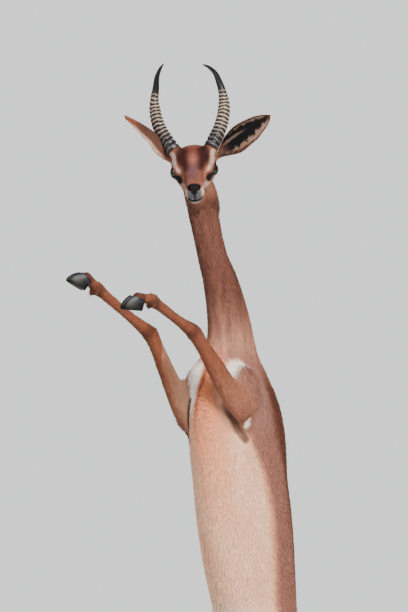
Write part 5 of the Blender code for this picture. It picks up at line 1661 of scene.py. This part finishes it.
for word, side in (("left", 1), ("right", -1)):
    sheet, outward, share, q = ear_sheet(side)
    rise = unit(np.gradient(sheet, axis=0))
    inward = unit(np.gradient(sheet, axis=1)) * np.sign(-q)[..., None]
    rows = (sheet, outward, share, q, rise, inward)
    sheet, outward, share, q, rise, inward = (row.reshape(-1, *row.shape[2:]) for row in rows)
    pick, front = [], []
    for _ in range(2):
        rim = chance.random(len(q)) < np.where(np.abs(q) > 0.88, 0.9, 0.30) * (share > 0.04) * (share < 0.97)
        pick.append(np.flatnonzero(rim))
        front.append(np.full(rim.sum(), True))
    behind_ear = (chance.random(len(q)) < 0.75) & (share > 0.02)
    pick.append(np.flatnonzero(behind_ear))
    front.append(np.full(behind_ear.sum(), False))
    pick, front = np.concatenate(pick), np.concatenate(front)
    count = len(pick)
    jitter = rise[pick] * (0.0025 * chance.normal(size=count))[:, None]
    jitter = jitter + inward[pick] * (0.0006 * chance.normal(size=count))[:, None]
    normal = np.where(front[:, None], -outward[pick], outward[pick])
    at = sheet[pick] + jitter + normal * 0.0009
    edge = ramp(np.abs(q[pick]), 0.84, 0.96)
    way = rise[pick] + inward[pick] * np.where(front, 0.10 + 0.35 * edge, -0.25 * edge)[:, None]
    way = way + 0.15 * chance.normal(size=(count, 3))
    way = unit(way - normal * (way * normal).sum(axis=1)[:, None])
    long = np.where(front, 0.008 + 0.007 * edge, 0.0045) * (1 - 0.5 * share[pick])
    long = long * (0.7 + 0.6 * chance.random(count))
    tones = ear_tones(share[pick], q[pick], front) * (1 + 0.10 * chance.normal(size=count))[:, None]
    cell = ATLAS.index("ear")
    inside = np.column_stack([0.03 + 0.44 * share[pick] + (0.5 if side > 0 else 0), 0.5 + 0.44 * q[pick]])
    chart = (inside + (cell % 3, cell // 3)) * ATLAS_CELL
    way, normal = way @ HEAD_TURN.T, normal @ HEAD_TURN.T
    lift = np.where(front, 0.0012 + 0.0016 * edge, 0.0006)
    tones = np.clip(tones, 0, 1)
    tufts(f"coat_ear_{word}", out_of_head(at), way, normal, long, long * 0.09 + 0.0002, lift, tones, chart)


# The display base: a flat board of dark, satin wood with rounded corners and edges, that both hind feet
# stand on. It is drawn as a rounded outline, raised to the CAD board's height, and its edges are bevelled.

wood_look, tree, surface = nodes_of("dark_wood", 0.38, Coat_Weight=0.15, Coat_Roughness=0.3)
place = node(tree, "ShaderNodeTexCoord")
stretch = node(tree, "ShaderNodeMapping")
stretch.inputs["Scale"].default_value = (1.0, 14.0, 14.0)
grain = node(tree, "ShaderNodeTexNoise", Scale=6.0, Detail=8.0, Roughness=0.6, Distortion=0.6)
ink = node(tree, "ShaderNodeValToRGB")
dark, light = ink.color_ramp.elements
dark.position, dark.color = 0.32, (0.020, 0.010, 0.006, 1)
light.position, light.color = 0.72, (0.085, 0.042, 0.022, 1)
tree.links.new(place.outputs["Object"], stretch.inputs["Vector"])
tree.links.new(stretch.outputs["Vector"], grain.inputs["Vector"])
tree.links.new(grain.outputs["Fac"], ink.inputs["Fac"])
tree.links.new(ink.outputs["Color"], surface.inputs["Base Color"])
emboss(tree, surface, grain.outputs["Fac"], 0.12, 0.0006)

low, high = (np.array(corner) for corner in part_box("stand_base"))
BASE_CORNER = 0.050
CORNER_STEPS = 12
centre = (low + high)[:2] / 2
rim = []
for k, (x, y) in enumerate(((high[0], high[1]), (low[0], high[1]), (low[0], low[1]), (high[0], low[1]))):
    turns = np.linspace(k * pi / 2, (k + 1) * pi / 2, CORNER_STEPS)
    middle = np.array((x, y)) - BASE_CORNER * np.sign(np.array((x, y)) - centre)
    rim += [middle + BASE_CORNER * np.array((np.cos(turn), np.sin(turn))) for turn in turns]
around = len(rim)
corners = [(*at, low[2]) for at in rim] + [(*at, high[2]) for at in rim]
sides = [tuple(range(around))[::-1], tuple(range(around, 2 * around))]
sides += [(k, (k + 1) % around, around + (k + 1) % around, around + k) for k in range(around)]
board = new_mesh_object("base_board", corners, sides, smooth=False)
rounded = board.modifiers.new("rounded", "BEVEL")
rounded.width = 0.004
rounded.segments = 4
rounded.limit_method = "ANGLE"
baked(board)
board.data.materials.append(wood_look)
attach(board, "root")
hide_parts("stand_base")

# The studio: a pale floor, a large soft key light above the
# animal's left, a weaker one on its right, and a pale room.

floor_look, tree, surface = nodes_of("floor", 0.9)
surface.inputs["Base Color"].default_value = (0.80, 0.79, 0.77, 1)
FLOOR_REACH = 7.0
corners = [(x * FLOOR_REACH, y * FLOOR_REACH, 0) for x, y in ((-1, -1), (1, -1), (1, 1), (-1, 1))]
floor = new_mesh_object("floor", corners, [(0, 1, 2, 3)], False)
floor.data.materials.append(floor_look)


def soft_light(name, place, aim, size, power, colour):
    data = bpy.data.lights.new(name, "AREA")
    data.shape, data.size, data.energy, data.color = "DISK", size, power, colour
    light = bpy.data.objects.new(name, data)
    light.location = place
    light.rotation_euler = (Vector(place) - Vector(aim)).to_track_quat("Z", "Y").to_euler()
    bpy.context.scene.collection.objects.link(light)


soft_light("key", (3.6, -2.0, 3.8), (0, -0.1, 1.5), 1.8, 510, (1.0, 0.95, 0.88))
soft_light("fill", (-1.6, -4.2, 2.4), (0, -0.1, 1.4), 2.4, 85, (1.0, 0.98, 0.96))
soft_light("rim", (-1.6, 3.0, 3.4), (0, 0, 1.6), 1.6, 60, (1.0, 0.98, 0.95))

world = bpy.data.worlds.new("room")
bpy.context.scene.world = world
world.use_nodes = True
room = world.node_tree.nodes["Background"]
room.inputs["Color"].default_value = (0.90, 0.91, 0.92, 1)
seen = world.node_tree.nodes.new("ShaderNodeLightPath")
level = world.node_tree.nodes.new("ShaderNodeMapRange")
level.inputs["To Min"].default_value = 0.34  # what the room gives as light
level.inputs["To Max"].default_value = 1.30  # how bright it looks behind the animal
world.node_tree.links.new(seen.outputs["Is Camera Ray"], level.inputs["Value"])
world.node_tree.links.new(level.outputs["Result"], room.inputs["Strength"])

bpy.context.view_layer.update()
